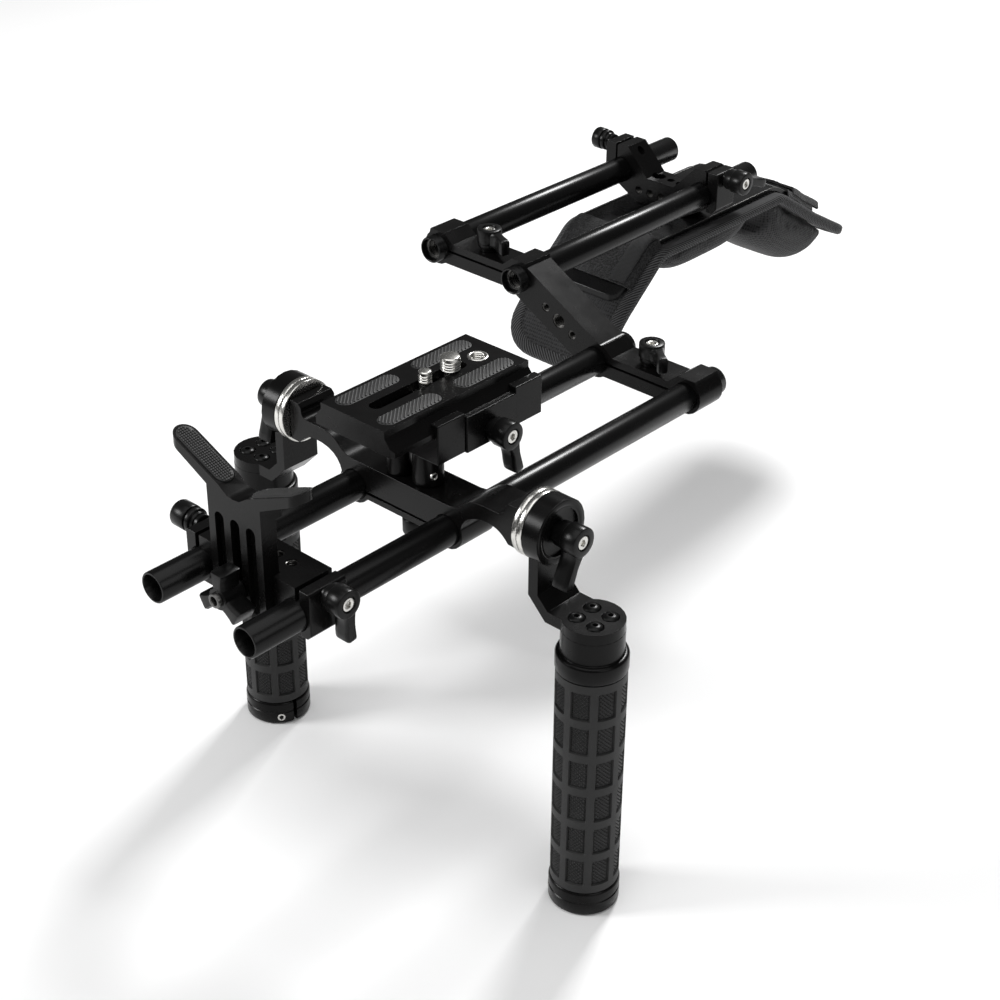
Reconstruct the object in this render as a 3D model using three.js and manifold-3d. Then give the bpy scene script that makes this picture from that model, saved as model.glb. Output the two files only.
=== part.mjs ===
// Shoulder rig for a cinema camera: two pairs of 15 mm rods joined by an offset bracket, a lens support,
// a quick-release camera plate, two rosette hand grips and a padded shoulder rest. Millimetres, +Z up.
// Parts are laid out from the point midway between the lower rod axes, level with the rosettes; the lens
// end faces -Y. The last step moves the whole rig so that it stands on z = 0, centred over the origin.
import * as THREE from 'three';
import { mergeVertices } from 'three/addons/utils/BufferGeometryUtils.js';
import { RoundedBoxGeometry } from 'three/addons/geometries/RoundedBoxGeometry.js';
import Module from 'manifold-3d';

const wasm = await Module();
wasm.setup();

// ---- driving dimensions -----------------------------------------------------------------------------
const gap = 0.3;                 // air left between neighbouring parts

const rod = { radius: 7.5, bore: 6.2, clearance: 0.25 };
const lowerRod = { x: 30, z: 0, front: -132, rear: 190.5 };
const upperRod = { inner: -85, outer: -145, z: 30, front: 159, rear: 372 };
const ringRadius = 9.7;          // wall of every one-piece rod clamp

const lens = {
  front: -104, rear: -82.5, top: 14, bottom: -9.5, split: 31, jawInner: 33.3, jawOuter: 40, boltZ: 10.2,
};
const yoke = {
  front: -108.5, postRear: -100, armRear: -96.6, postHalf: 17, postBottom: -10,
  valley: 46.5, rise: 0.44, tip: 41, thickness: 4.6,
};
const yokeSlot = { halfWidth: 2.9, top: 36.5, bottom: -4.5 };
const starAxisZ = 2.4;

const cradle = {
  half: 11, trough: 13.4, armTop: 22, underside: 14.2, flangeInner: 65.5, bottom: -5.2,
  slit: 1.3, slitZ: -1.5,
};
const rosette = {
  z: 18.7, face: 76.5, radius: 16, thickness: 2.9, toothRise: 0.5, teeth: 24, boltHole: 3.3,
};
const arm = { half: 11, plate: 5.6, boss: 88.6, top: -16.6, thickness: 6, chamfer: 6.1, reach: 108.6 };
const grip = {
  x: 108.6, capRadius: 14.6, collarTop: -33.3, collarBottom: -42.5, collarRadius: 16.8,
  sleeveRadius: 16.4, sleeveBottom: -163, core: 12.2, ringRadius: 17, bottom: -176,
};

const plate = { front: -39, rear: 55, top: 58.3, bottom: 46.4, topHalf: 20, baseHalf: 25 };
const base = { front: -13, rear: 56.5, floor: 33, cheekInner: 19.6, half: 27.2, top: 52.8 };
const jaw = { front: 5, rear: 38, outer: 28, boltZ: 39.3 };

const zBracket = { front: 165, rear: 184, padTop: 9.9, midTop: 4.7, bottom: -7.8, bar: 9.8 };
const rest = {
  x: -115, front: 325, rear: 342, top: 45.5, floor: 12.6, bridgeTop: 29.3, split: 33.4,
  jawInner: 34.6, jawOuter: 42.2, boltZ: 41.6,
};
const mat = { half: 35.5, front: 222.5, rear: 492, corner: 20 };
const boltHole = 2.4;            // clearance hole for the pinch bolts

// How far each wing lever is swung from pointing forwards (or, on an upright bolt, from pointing ahead).
const swing = { lens: 1.72, plate: 1.9, grip: 1.25, rest: 2.9, cradle: -0.9, upper: 1.27, lower: 1.03 };

// ---- surface finishes -------------------------------------------------------------------------------
const finishes = {
  anodised: { color: 0x17181a, roughness: 0.38, metalness: 0.75 },
  castBlack: { color: 0x1f2022, roughness: 0.5, metalness: 0.55 },
  steel: { color: 0xb9b7b2, roughness: 0.28, metalness: 1 },
  rubber: { color: 0x1b1b1c, roughness: 0.85, metalness: 0 },
  satinPlate: { color: 0x2a2b2d, roughness: 0.45, metalness: 0.3 },
  fabric: { color: 0x161617, roughness: 0.95, metalness: 0 },
};

const rig = new THREE.Group();
rig.name = 'camera_shoulder_rig';

function place(name, geometry, finish) {
  const mesh = new THREE.Mesh(geometry, new THREE.MeshStandardMaterial(finishes[finish]));
  mesh.name = name;
  rig.add(mesh);
}

// ---- solid helpers ----------------------------------------------------------------------------------
function stripped(geometry) {
  geometry.deleteAttribute('normal');
  geometry.deleteAttribute('uv');
  return geometry;
}

function toSolid(geometry) {
  const merged = mergeVertices(stripped(geometry.clone()), 1e-4);
  return new wasm.Manifold(new wasm.Mesh({
    numProp: 3,
    vertProperties: Float32Array.from(merged.attributes.position.array),
    triVerts: Uint32Array.from(merged.index.array),
  }));
}

function toGeometry(solid) {
  const mesh = solid.getMesh();
  const geometry = new THREE.BufferGeometry();
  geometry.setAttribute('position', new THREE.BufferAttribute(Float32Array.from(mesh.vertProperties), 3));
  geometry.setIndex(new THREE.BufferAttribute(Uint32Array.from(mesh.triVerts), 1));
  geometry.computeVertexNormals();
  return geometry;
}

function fuse(...parts) {
  return toGeometry(parts.map(toSolid).reduce((whole, part) => whole.add(part)));
}

function cut(body, ...tools) {
  return toGeometry(tools.map(toSolid).reduce((left, tool) => left.subtract(tool), toSolid(body)));
}

function common(first, second) {
  return toGeometry(toSolid(first).intersect(toSolid(second)));
}

function mirrorX(geometry) {
  const flipped = mergeVertices(stripped(geometry.clone()), 1e-4);
  flipped.scale(-1, 1, 1);
  const index = flipped.index.array;
  for (let i = 0; i < index.length; i += 3) {
    [index[i + 1], index[i + 2]] = [index[i + 2], index[i + 1]];
  }
  flipped.computeVertexNormals();
  return flipped;
}

function block(x0, x1, y0, y1, z0, z1) {
  const box = new THREE.BoxGeometry(x1 - x0, y1 - y0, z1 - z0);
  box.translate((x0 + x1) / 2, (y0 + y1) / 2, (z0 + z1) / 2);
  return box;
}

// Turns a geometry built along +Z so that it runs along the named axis.
function along(axis, geometry) {
  const rows = {
    x: [0, 0, 1, 0, 1, 0, 0, 0, 0, 1, 0, 0, 0, 0, 0, 1],
    y: [0, 1, 0, 0, 0, 0, 1, 0, 1, 0, 0, 0, 0, 0, 0, 1],
    z: [1, 0, 0, 0, 0, 1, 0, 0, 0, 0, 1, 0, 0, 0, 0, 1],
  };
  return geometry.applyMatrix4(new THREE.Matrix4().set(...rows[axis]));
}

// Facets round a cylinder of the given radius.
function facets(radius) {
  if (radius < 4.5) return 10;
  if (radius < 7.2) return 14;
  return radius < 12 ? 20 : 24;
}

// A bar of revolution: profile is a list of [radius, station], stations run along the axis.
function turned(axis, profile, x, y, z, sides = facets(Math.max(...profile.map(([radius]) => radius)))) {
  const points = profile.map(([radius, station]) => new THREE.Vector2(radius, station));
  const lathe = new THREE.LatheGeometry(points, sides);
  lathe.rotateX(Math.PI / 2);
  along(axis, lathe);
  lathe.translate(x, y, z);
  return lathe;
}

function cylinder(axis, radius, from, to, x, y, z, sides = facets(radius)) {
  return turned(axis, [[0, from], [radius, from], [radius, to], [0, to]], x, y, z, sides);
}

function outline(points) {
  return new THREE.Shape(points.map(([u, v]) => new THREE.Vector2(u, v)));
}

function extrude(shape, depth, curveSegments = 8) {
  return new THREE.ExtrudeGeometry(shape, { depth, bevelEnabled: false, curveSegments });
}

// Outline in (x, z), swept along Y.
function sweepY(shape, y0, y1, curveSegments) {
  const solid = extrude(shape, y1 - y0, curveSegments);
  solid.rotateX(Math.PI / 2);
  solid.translate(0, y1, 0);
  return solid;
}

// Outline in (y, z), swept along X.
function sweepX(shape, x0, x1, curveSegments) {
  return along('x', extrude(shape, x1 - x0, curveSegments)).translate(x0, 0, 0);
}

// Outline in (x, y), swept along Z.
function sweepZ(shape, z0, z1, curveSegments) {
  return extrude(shape, z1 - z0, curveSegments).translate(0, 0, z0);
}

function stadium(u0, v0, u1, v1, radius) {
  const shape = new THREE.Shape();
  const angle = Math.atan2(v1 - v0, u1 - u0);
  shape.absarc(u1, v1, radius, angle - Math.PI / 2, angle + Math.PI / 2, false);
  shape.absarc(u0, v0, radius, angle + Math.PI / 2, angle + 1.5 * Math.PI, false);
  shape.closePath();
  return shape;
}

// ---- rods -------------------------------------------------------------------------------------------
function lowerTube(x) {
  const { radius, bore } = rod;
  const length = lowerRod.rear - lowerRod.front;
  const profile = [
    [bore, 0.8], [bore + 0.6, 0], [radius - 0.5, 0], [radius, 0.5], [radius, length - 0.5],
    [radius - 0.5, length], [bore + 0.6, length], [bore, length - 0.8], [bore, 0.8],
  ];
  return turned('y', profile, x, lowerRod.front, lowerRod.z);
}

// The upper rods carry a female thread a few millimetres inside the mouth.
function upperTube(x) {
  const { radius, bore } = rod;
  const length = upperRod.rear - upperRod.front;
  const profile = [
    [bore, 3.6], [bore, 0], [radius - 0.5, 0], [radius, 0.5], [radius, length - 0.5],
    [radius - 0.5, length], [bore, length], [bore, 16],
  ];
  for (const station of [14.5, 11, 7.5]) {
    profile.push([5.1, station], [5.9, station - 1.7]);
  }
  profile.push([bore, 3.6]);
  return turned('y', profile, x, upperRod.front, upperRod.z);
}

place('rod_lower_left', lowerTube(-lowerRod.x), 'anodised');
place('rod_lower_right', lowerTube(lowerRod.x), 'anodised');
place('rod_upper_inner', upperTube(upperRod.inner), 'anodised');
place('rod_upper_outer', upperTube(upperRod.outer), 'anodised');

function rodBore(x, z, y0, y1) {
  return cylinder('y', rod.radius + rod.clearance, y0 - 1, y1 + 1, x, 0, z);
}

// ---- wing levers ------------------------------------------------------------------------------------
// Built along +Z from the clamped face at z = 0: round boss, wider head and one flat blade towards -Y.
function wingLever(length, blade, headRadius = 6.8) {
  const boss = turned('z', [
    [0, 0], [5, 0], [5, 1.4], [6.1, 1.4], [headRadius, length - 5], [headRadius, length - 0.6],
    [headRadius - 0.6, length], [0, length],
  ], 0, 0, 0);
  const side = outline([
    [-3.4, 0], [3.4, 0], [2.9, -blade + 2.2], [1.7, -blade], [-1.7, -blade], [-2.9, -blade + 2.2],
  ]);
  const wing = sweepZ(side, length - 9.6, length - 0.8);
  const seat = cylinder('z', 3.5, length - 2.2, length + 1, 0, 0, 0);
  return cut(fuse(boss, wing), seat, cylinder('z', boltHole, -1, length + 1, 0, 0, 0));
}

// Socket-head bolt that holds a wing lever: sits in the lever's seat, shank passes through it.
function leverBolt(length, shank) {
  const bolt = turned('z', [
    [0, -shank], [2.1, -shank], [2.1, length - 1.9], [3.2, length - 1.9],
    [3.2, length - 0.5], [2.9, length - 0.2], [0, length - 0.2],
  ], 0, 0, 0);
  const socket = cylinder('z', 1.6, length - 1.5, length + 1, 0, 0, 0, 6);
  return cut(bolt, socket);
}

// Moves a lever or bolt built along +Z to its clamp; turn swings the blade about the axis.
function mount(geometry, axis, sense, turn, x, y, z) {
  geometry.rotateZ(turn);
  if (axis === 'z' && sense < 0) geometry.rotateX(Math.PI);
  if (axis === 'x') geometry.rotateY(sense * Math.PI / 2);
  geometry.translate(x, y, z);
  return geometry;
}

// Round end nut with grooves, on the plain end of a pinch bolt; runs along +Z from the jaw face.
function endNut(length, shank) {
  return turned('z', [
    [0, -shank], [2.1, -shank], [2.1, 0.4], [4.6, 0.4], [4.6, 4.2], [6.1, 4.6], [5.4, 7.5], [6.4, 8],
    [6.4, length - 0.7], [5.8, length], [0, length],
  ], 0, 0, 0);
}

// ---- lens support -----------------------------------------------------------------------------------
const lensMid = (lens.front + lens.rear) / 2;

function lensBlock() {
  const { front, rear, top, bottom, split } = lens;
  const body = block(-split, split, front, rear, bottom, top);
  const recessHalf = yoke.postHalf + 0.4;
  const recess = block(-recessHalf, recessHalf, front - 1, yoke.postRear + gap, bottom - 1, top + 1);
  const threadSpots = [[5.6, lensMid + 3], [15.4, lensMid + 2]];
  const threads = threadSpots.map(([x, y]) => cylinder('z', 2.9, 4, top + 1, x, y, 0));
  const studHole = cylinder('y', 2.6, front - 1, rear - 4, 0, 0, starAxisZ);
  const rightBolt = cylinder('x', boltHole, 17, split + 1, 0, lensMid, lens.boltZ);
  const bores = [-1, 1].map((s) => rodBore(s * lowerRod.x, lowerRod.z, front, rear));
  return cut(body, recess, studHole, rightBolt, mirrorX(rightBolt), ...bores, ...threads);
}

function lensJaw() {
  const { front, rear, top, bottom, jawInner, jawOuter } = lens;
  const side = outline([
    [jawInner, top], [jawInner, bottom], [jawOuter - 2.5, bottom], [jawOuter, bottom + 2.5],
    [jawOuter, top - 1], [jawOuter - 1, top],
  ]);
  const bolt = cylinder('x', boltHole, jawInner - 1, jawOuter + 1, 0, lensMid, lens.boltZ);
  return cut(sweepY(side, front, rear), rodBore(lowerRod.x, lowerRod.z, front, rear), bolt);
}

// V-shaped cradle for the lens on a grooved, slotted post.
function lensYoke() {
  const { front, postRear, armRear, postHalf, postBottom, valley, rise, tip, thickness } = yoke;
  const tipZ = valley + rise * tip;
  const shoulderZ = valley + rise * postHalf - thickness - 1.6;
  const rightHalf = [
    [postHalf, valley - 6], [postHalf, shoulderZ], [tip, tipZ - thickness], [tip, tipZ],
    [9, valley + rise * 9], [4, valley + 0.6],
  ];
  const leftHalf = rightHalf.map(([x, z]) => [-x, z]).reverse();
  const vee = outline([...rightHalf, [0, valley], ...leftHalf]);
  const mid = (front + armRear) / 2;
  const plan = stadium(-tip + 6, mid, tip - 6, mid, (armRear - front) / 2);
  const arms = common(sweepY(vee, front, armRear), sweepZ(plan, 20, 90));
  const post = block(-postHalf, postHalf, front, postRear, postBottom, valley - 2);
  const { halfWidth, top, bottom } = yokeSlot;
  const slot = sweepY(stadium(0, bottom, 0, top - halfWidth, halfWidth), front - 1, postRear + 1, 5);
  const grooves = [-10, 10].map((x) => (
    sweepY(stadium(x, -20, x, top - halfWidth, halfWidth), front - 1, front + 3, 5)
  ));
  const recesses = [-1, 1].map((s) => armPad(s, 4.9, -1.0, 2));
  return cut(fuse(arms, post), slot, ...grooves, ...recesses);
}

// Stadium lying on one arm of the yoke; the faces are given as heights above the arm surface.
function armPad(side, radius, low, high) {
  const mid = (yoke.front + yoke.armRear) / 2;
  const slope = Math.atan(yoke.rise);
  const strip = sweepZ(stadium(13.5, 0, yoke.tip / Math.cos(slope) - 6, 0, radius), low, high, 6);
  strip.rotateY(-slope);
  strip.translate(0, mid, yoke.valley);
  return side > 0 ? strip : mirrorX(strip);
}

// Three-lobed hand knob with its stud, which reaches through the post slot into the clamp block.
function starKnob() {
  const lobes = [90, 210, 330].map((degrees) => {
    const half = [[0, 3.3], [6.5, 3], [11.6, 4], [12.6, 3.4]];
    const lobe = outline([...half.map(([u, v]) => [u, -v]), ...half.reverse()]);
    return sweepZ(lobe, 0, 11).rotateZ(degrees * Math.PI / 180);
  });
  const hub = turned('z', [
    [0, -1.2], [5.4, -1.2], [5.4, 11], [3.6, 11.2], [3.4, 13], [2.2, 13], [2.2, 11], [0, 11],
  ], 0, 0, 0);
  const stud = cylinder('z', 2.3, -17, 0, 0, 0, 0);
  const knob = fuse(hub, ...lobes, stud);
  knob.rotateX(Math.PI / 2);
  knob.translate(0, yoke.front - 1.2 - gap, starAxisZ);
  return knob;
}

place('lens_clamp_block', lensBlock(), 'anodised');
place('lens_clamp_jaw_right', lensJaw(), 'anodised');
place('lens_clamp_jaw_left', mirrorX(lensJaw()), 'anodised');
const lensBoltSpot = [lens.jawOuter + gap, lensMid, lens.boltZ];
place('lens_clamp_lever', mount(wingLever(12.5, 19), 'x', 1, swing.lens, ...lensBoltSpot), 'castBlack');
place('lens_clamp_bolt', mount(leverBolt(12.5, 22), 'x', 1, swing.lens, ...lensBoltSpot), 'steel');
const lensNutSpot = [-lensBoltSpot[0], lensMid, lens.boltZ];
place('lens_clamp_end_nut', mount(endNut(17, 22), 'x', -1, 0, ...lensNutSpot), 'castBlack');
place('lens_yoke', lensYoke(), 'anodised');
place('lens_yoke_pad_right', armPad(1, 4.6, -0.7, 0.6), 'rubber');
place('lens_yoke_pad_left', armPad(-1, 4.6, -0.7, 0.6), 'rubber');
place('lens_star_knob', starKnob(), 'castBlack');

// ---- centre cradle ----------------------------------------------------------------------------------
// Half outline of the arm, from the trough out to the rosette flange and back under to the rod ring.
function cradleArm() {
  const half = new THREE.Shape();
  half.moveTo(0, cradle.trough);
  half.lineTo(31, cradle.trough);
  half.bezierCurveTo(40, cradle.trough, 40, cradle.armTop, 51, cradle.armTop);
  half.lineTo(61, cradle.armTop);
  half.quadraticCurveTo(cradle.flangeInner, cradle.armTop, cradle.flangeInner, cradle.armTop + 4);
  half.lineTo(cradle.flangeInner, rosette.z + 8.5);
  half.lineTo(cradle.flangeInner + 2, rosette.z + 10.5);
  half.lineTo(rosette.face - rosette.thickness - gap, rosette.z + 10.5);
  half.lineTo(rosette.face - rosette.thickness - gap, rosette.z - 10.5);
  half.lineTo(cradle.flangeInner + 2, rosette.z - 10.5);
  half.quadraticCurveTo(cradle.flangeInner - 3, cradle.underside, 56, cradle.underside);
  half.quadraticCurveTo(41, cradle.underside, 38.6, 3.5);
  half.lineTo(30, 0);
  half.lineTo(0, 0);
  return half;
}

function cradleBody() {
  const { half, bottom, trough, slit, slitZ } = cradle;
  const wing = sweepY(cradleArm(), -half, half, 6);
  const reach = lowerRod.x;
  const bar = block(-reach, reach, -half, half, bottom, trough);
  const rings = [-reach, reach].map((x) => cylinder('y', ringRadius, -half, half, x, 0, 0));
  const slot = block(-reach, reach, -half - 1, half + 1, slitZ - slit / 2, slitZ + slit / 2);
  const gripBolt = cylinder('x', rosette.boltHole, 58, 80, 0, 0, rosette.z);
  const clampHole = cylinder('z', 2.8, bottom - 1, 8, 0, 0, 0);
  const bores = [-1, 1].map((s) => rodBore(s * lowerRod.x, lowerRod.z, -half, half));
  const body = fuse(wing, mirrorX(wing), bar, ...rings);
  return cut(body, slot, clampHole, gripBolt, mirrorX(gripBolt), ...bores);
}

function clampLeverBelow() {
  const stud = cylinder('z', 2.5, -11, 11.5, 0, 0, 0);
  const lever = fuse(wingLever(12, 19), stud);
  return mount(lever, 'z', -1, swing.cradle, 0, 0, cradle.bottom - gap);
}

place('cradle', cradleBody(), 'anodised');
place('cradle_clamp_lever', clampLeverBelow(), 'castBlack');

// ---- rosettes and grip arms -------------------------------------------------------------------------
// Toothed disc along +Z, with its crests half a gap short of the thickness; shift turns it by half teeth.
function toothedDisc(shift) {
  const { radius, thickness, toothRise, teeth } = rosette;
  const inner = rosette.boltHole + 0.2;
  const steps = teeth * 2;
  const position = [];
  const rings = [[inner, 0], [radius, 0], [radius, 1], [inner, 0.3]];
  for (const [wall, toothed] of rings) {
    for (let step = 0; step < steps; step += 1) {
      const angle = (step + shift) * Math.PI / teeth;
      const crest = step % 2 === 0 ? toothRise : -toothRise;
      const level = toothed ? thickness - gap / 2 - toothRise + toothed * crest : 0;
      position.push(wall * Math.cos(angle), wall * Math.sin(angle), level);
    }
  }
  const index = [];
  for (let ring = 0; ring < rings.length; ring += 1) {
    const next = (ring + 1) % rings.length;
    for (let step = 0; step < steps; step += 1) {
      const after = (step + 1) % steps;
      const [a, b] = [ring * steps + step, ring * steps + after];
      const [c, d] = [next * steps + step, next * steps + after];
      index.push(a, b, c, b, d, c);
    }
  }
  const disc = new THREE.BufferGeometry();
  disc.setAttribute('position', new THREE.Float32BufferAttribute(position, 3));
  disc.setIndex(index);
  disc.computeVertexNormals();
  return disc;
}

function rosetteDisc(outward) {
  const disc = toothedDisc(outward ? 0 : 1);
  disc.rotateY(outward ? Math.PI / 2 : -Math.PI / 2);
  const face = outward ? rosette.face - rosette.thickness : rosette.face + rosette.thickness;
  disc.translate(face, 0, rosette.z);
  return disc;
}

// L-shaped arm: round boss behind the rosette, chamfered elbow and a foot over the grip.
function gripArm() {
  const inner = rosette.face + rosette.thickness + gap;
  const outer = inner + arm.plate;
  const foot = arm.top - arm.thickness;
  const elbow = outline([
    [inner, rosette.z], [inner, -12.3], [inner + 10.2, foot], [arm.reach, foot], [arm.reach, arm.top],
    [outer + arm.chamfer, arm.top], [outer, arm.top + arm.chamfer], [outer, rosette.z],
  ]);
  const strip = sweepY(elbow, -arm.half, arm.half);
  const boss = cylinder('x', rosette.radius, inner, arm.boss, 0, 0, rosette.z);
  const footDisc = cylinder('z', grip.capRadius, foot, arm.top, arm.reach, 0, 0);
  const seat = cylinder('x', 11.6, arm.boss - 2.2, arm.boss + 1, 0, 0, rosette.z);
  const bore = cylinder('x', rosette.boltHole, inner - 1, arm.boss + 1, 0, 0, rosette.z);
  const spots = capScrewSpots();
  const screwHoles = spots.map(([x, y]) => cylinder('z', 2.2, foot - 1, arm.top + 1, x, y, 0, 8));
  const recesses = spots.map(([x, y]) => cylinder('z', 4.2, arm.top - 1.2, arm.top + 1, x, y, 0, 12));
  return cut(fuse(strip, boss, footDisc), seat, bore, ...screwHoles, ...recesses);
}

function capScrewSpots() {
  return [[-1, -1], [1, -1], [-1, 1], [1, 1]].map(([u, v]) => [grip.x + 5.3 * u, 5.3 * v]);
}

// Grip core: cap, locking collar and tube, with the four button-head screws that hold it to the foot.
function gripCore() {
  const { x, capRadius, collarTop, collarBottom, collarRadius, core, sleeveBottom } = grip;
  const capTop = arm.top - arm.thickness - gap;
  const body = turned('z', [
    [0, sleeveBottom - 1], [core, sleeveBottom - 1], [core, collarBottom],
    [collarRadius, collarBottom], [collarRadius, collarTop - 0.8], [collarRadius - 0.8, collarTop],
    [capRadius, collarTop], [capRadius, capTop], [0, capTop],
  ], x, 0, 0);
  const screw = [
    [0, capTop - 1], [1.9, capTop - 1], [1.9, arm.top - 0.9], [3.7, arm.top - 0.9],
    [3.7, arm.top + 0.2], [2.6, arm.top + 1.3], [0, arm.top + 1.3],
  ];
  const screws = capScrewSpots().map(([sx, sy]) => turned('z', screw, sx, sy, 0, 8));
  return fuse(body, ...screws);
}

// Point of the round sleeve at an angle in degrees.
function spoke(degrees, radius) {
  const angle = degrees * Math.PI / 180;
  return [radius * Math.cos(angle), radius * Math.sin(angle)];
}

// Rubber sleeve: eight upright ribs and seven rings stand proud of the panels between them.
function gripSleeve() {
  const { x, core, sleeveRadius, collarBottom, sleeveBottom } = grip;
  const top = collarBottom - gap;
  const bottom = sleeveBottom + gap;
  const fluted = [];
  const round = [];
  for (let rib = 0; rib < 360; rib += 45) {
    const crest = [spoke(rib - 7, sleeveRadius), spoke(rib + 7, sleeveRadius)];
    round.push(...crest);
    fluted.push(...crest, spoke(rib + 8, sleeveRadius - 1), spoke(rib + 37, sleeveRadius - 1));
  }
  const ribbed = sweepZ(outline(fluted), bottom, top);
  const ringHeight = 4.4;
  const pitch = (top - bottom - ringHeight) / 6;
  const rings = [0, 1, 2, 3, 4, 5, 6].map((row) => {
    const low = bottom + row * pitch;
    return sweepZ(outline(round), low, low + ringHeight);
  });
  const bore = cylinder('z', core + gap, bottom - 1, top + 1, 0, 0, 0);
  return cut(fuse(ribbed, ...rings), bore).translate(x, 0, 0);
}

// Split ring that locks the sleeve from below; the slit faces forward.
function gripRing() {
  const { x, core, bottom, sleeveBottom, ringRadius: radius } = grip;
  const floor = sleeveBottom - 1.4;
  const ring = turned('z', [
    [0, bottom], [radius - 0.6, bottom], [radius, bottom + 0.6], [radius, sleeveBottom - 0.6],
    [radius - 0.6, sleeveBottom], [core + gap, sleeveBottom], [core + gap, floor], [0, floor],
  ], x, 0, 0);
  const slit = block(x - 0.8, x + 0.8, -19, -8, bottom - 1, bottom + 7);
  const screw = cylinder('x', 2.4, x - 7, x + 7, 0, -15.2, bottom + 4.3);
  return cut(ring, slit, screw);
}

const gripKnob = { x: arm.boss - 1.9, length: 15.1 };

function gripLever() {
  return mount(wingLever(gripKnob.length, 23, 7.2), 'x', 1, swing.grip, gripKnob.x, 0, rosette.z);
}

function gripBolt() {
  return mount(leverBolt(gripKnob.length, 25), 'x', 1, swing.grip, gripKnob.x, 0, rosette.z);
}

for (const [side, handed] of [['right', (g) => g], ['left', mirrorX]]) {
  place(`rosette_cradle_${side}`, handed(rosetteDisc(true)), 'steel');
  place(`rosette_arm_${side}`, handed(rosetteDisc(false)), 'steel');
  place(`grip_arm_${side}`, handed(gripArm()), 'anodised');
  place(`grip_lever_${side}`, handed(gripLever()), 'castBlack');
  place(`grip_bolt_${side}`, handed(gripBolt()), 'steel');
  place(`grip_core_${side}`, handed(gripCore()), 'anodised');
  place(`grip_sleeve_${side}`, handed(gripSleeve()), 'rubber');
  place(`grip_ring_${side}`, handed(gripRing()), 'anodised');
}

// ---- quick-release camera plate ---------------------------------------------------------------------
const slotEnd = { front: -24, rear: 29.5 };
const screwY = { small: 7, large: 23.5 };

function cameraPlate() {
  const { front, rear, top, bottom, topHalf, baseHalf } = plate;
  const half = [[topHalf, top], [topHalf, top - 3.2], [baseHalf, bottom + 2.6], [baseHalf, bottom]];
  const section = outline([...half.map(([x, z]) => [-x, z]), ...half.map(([x, z]) => [x, z]).reverse()]);
  const corner = 1.5;
  const plan = outline([
    [-baseHalf + corner, front], [baseHalf - corner, front], [baseHalf, front + corner],
    [baseHalf, rear - corner], [baseHalf - corner, rear], [-baseHalf + corner, rear],
    [-baseHalf, rear - corner], [-baseHalf, front + corner],
  ]);
  const body = common(sweepY(section, front, rear), sweepZ(plan, bottom - 1, top + 1));
  const slot = sweepZ(stadium(0, slotEnd.front, 0, slotEnd.rear, 3.4), bottom - 1, top + 1, 6);
  const well = sweepZ(stadium(0, slotEnd.front - 2, 0, slotEnd.rear - 1.2, 7.4), bottom - 1, top - 4, 6);
  const bushHole = cylinder('z', 5.4, bottom - 1, top + 1, 0, 42, 0);
  const pads = padSpots().map(([x, y]) => padStrip(x, y, 5, top - 1, top + 1));
  return cut(body, slot, well, bushHole, ...pads);
}

function padSpots() {
  return [[-13.3, -16.5], [13.3, -16.5], [-13.3, 31.5], [13.3, 31.5]];
}

function padStrip(x, y, radius, low, high) {
  return sweepZ(stadium(x, y - 13.6, x, y + 13.6, radius), low, high, 5);
}

// Low pin screw held in the plate's slot from below: head in the well, threaded pin above the plate.
function cameraScrew(radius, height, y) {
  const { top } = plate;
  const threads = 3;
  const lead = (height - 1.7) / threads;
  const profile = [[0, top - 8.5], [6, top - 8.5], [6, top - 4.3], [3, top - 4.3], [3, top + 0.6]];
  for (let thread = 0; thread < threads; thread += 1) {
    const level = top + 0.8 + lead * thread;
    profile.push([radius, level], [radius - 0.5, level + lead / 2]);
  }
  profile.push([radius, top + height - 0.9], [radius - 0.8, top + height], [0, top + height]);
  return turned('z', profile, 0, y, 0);
}

function cameraBush() {
  const { top, bottom } = plate;
  return turned('z', [
    [3, bottom + 0.4], [5, bottom + 0.4], [5, top - 0.2], [4.6, top + 0.3], [3.4, top + 0.3],
    [3, top - 0.4], [3, bottom + 0.4],
  ], 0, 42, 0);
}

// Receiver on two posts: floor, left cheek, and right cheek pieces fore and aft of the sliding jaw.
function quickReleaseBase() {
  const { front, rear, floor, cheekInner, half, top } = base;
  const slope = plate.bottom + 2.6;
  const cheek = outline([
    [cheekInner, floor], [half, floor], [half, top], [cheekInner + 2.6, top],
    [plate.baseHalf + gap, slope], [plate.baseHalf + gap, plate.bottom - gap],
    [cheekInner, plate.bottom - gap],
  ]);
  const nose = sweepY(cheek, front, jaw.front - gap);
  const tail = sweepY(cheek, jaw.rear + gap, rear);
  const leftCheek = mirrorX(sweepY(cheek, front, rear));
  const deck = block(-cheekInner - 1, cheekInner + 1, front, rear, floor, plate.bottom - gap);
  const foot = cradle.trough + gap;
  const spots = [[-7, -3.5, 6.2], [9, -1, 7.5]];
  const posts = spots.map(([x, y, r]) => cylinder('z', r, foot, floor + 2, x, y, 0));
  const guide = cylinder('x', 3, 6, cheekInner + 2, 0, (jaw.front + jaw.rear) / 2, jaw.boltZ);
  return cut(fuse(nose, tail, leftCheek, deck, ...posts), guide);
}

function slidingJaw() {
  const { front, rear, outer } = jaw;
  const inner = base.cheekInner + 1 + gap;
  const [low, high] = [base.floor - 0.6, base.top - 2.2];
  const recess = plate.baseHalf + gap;
  const side = outline([
    [inner, low], [outer, low], [outer, high], [plate.baseHalf - 0.7, high],
    [recess, plate.bottom + 2.6], [recess, plate.bottom - gap], [inner, plate.bottom - gap],
  ]);
  const bolt = cylinder('x', boltHole, base.cheekInner, outer + 1, 0, (front + rear) / 2, jaw.boltZ);
  return cut(sweepY(side, front, rear), bolt);
}

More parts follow.
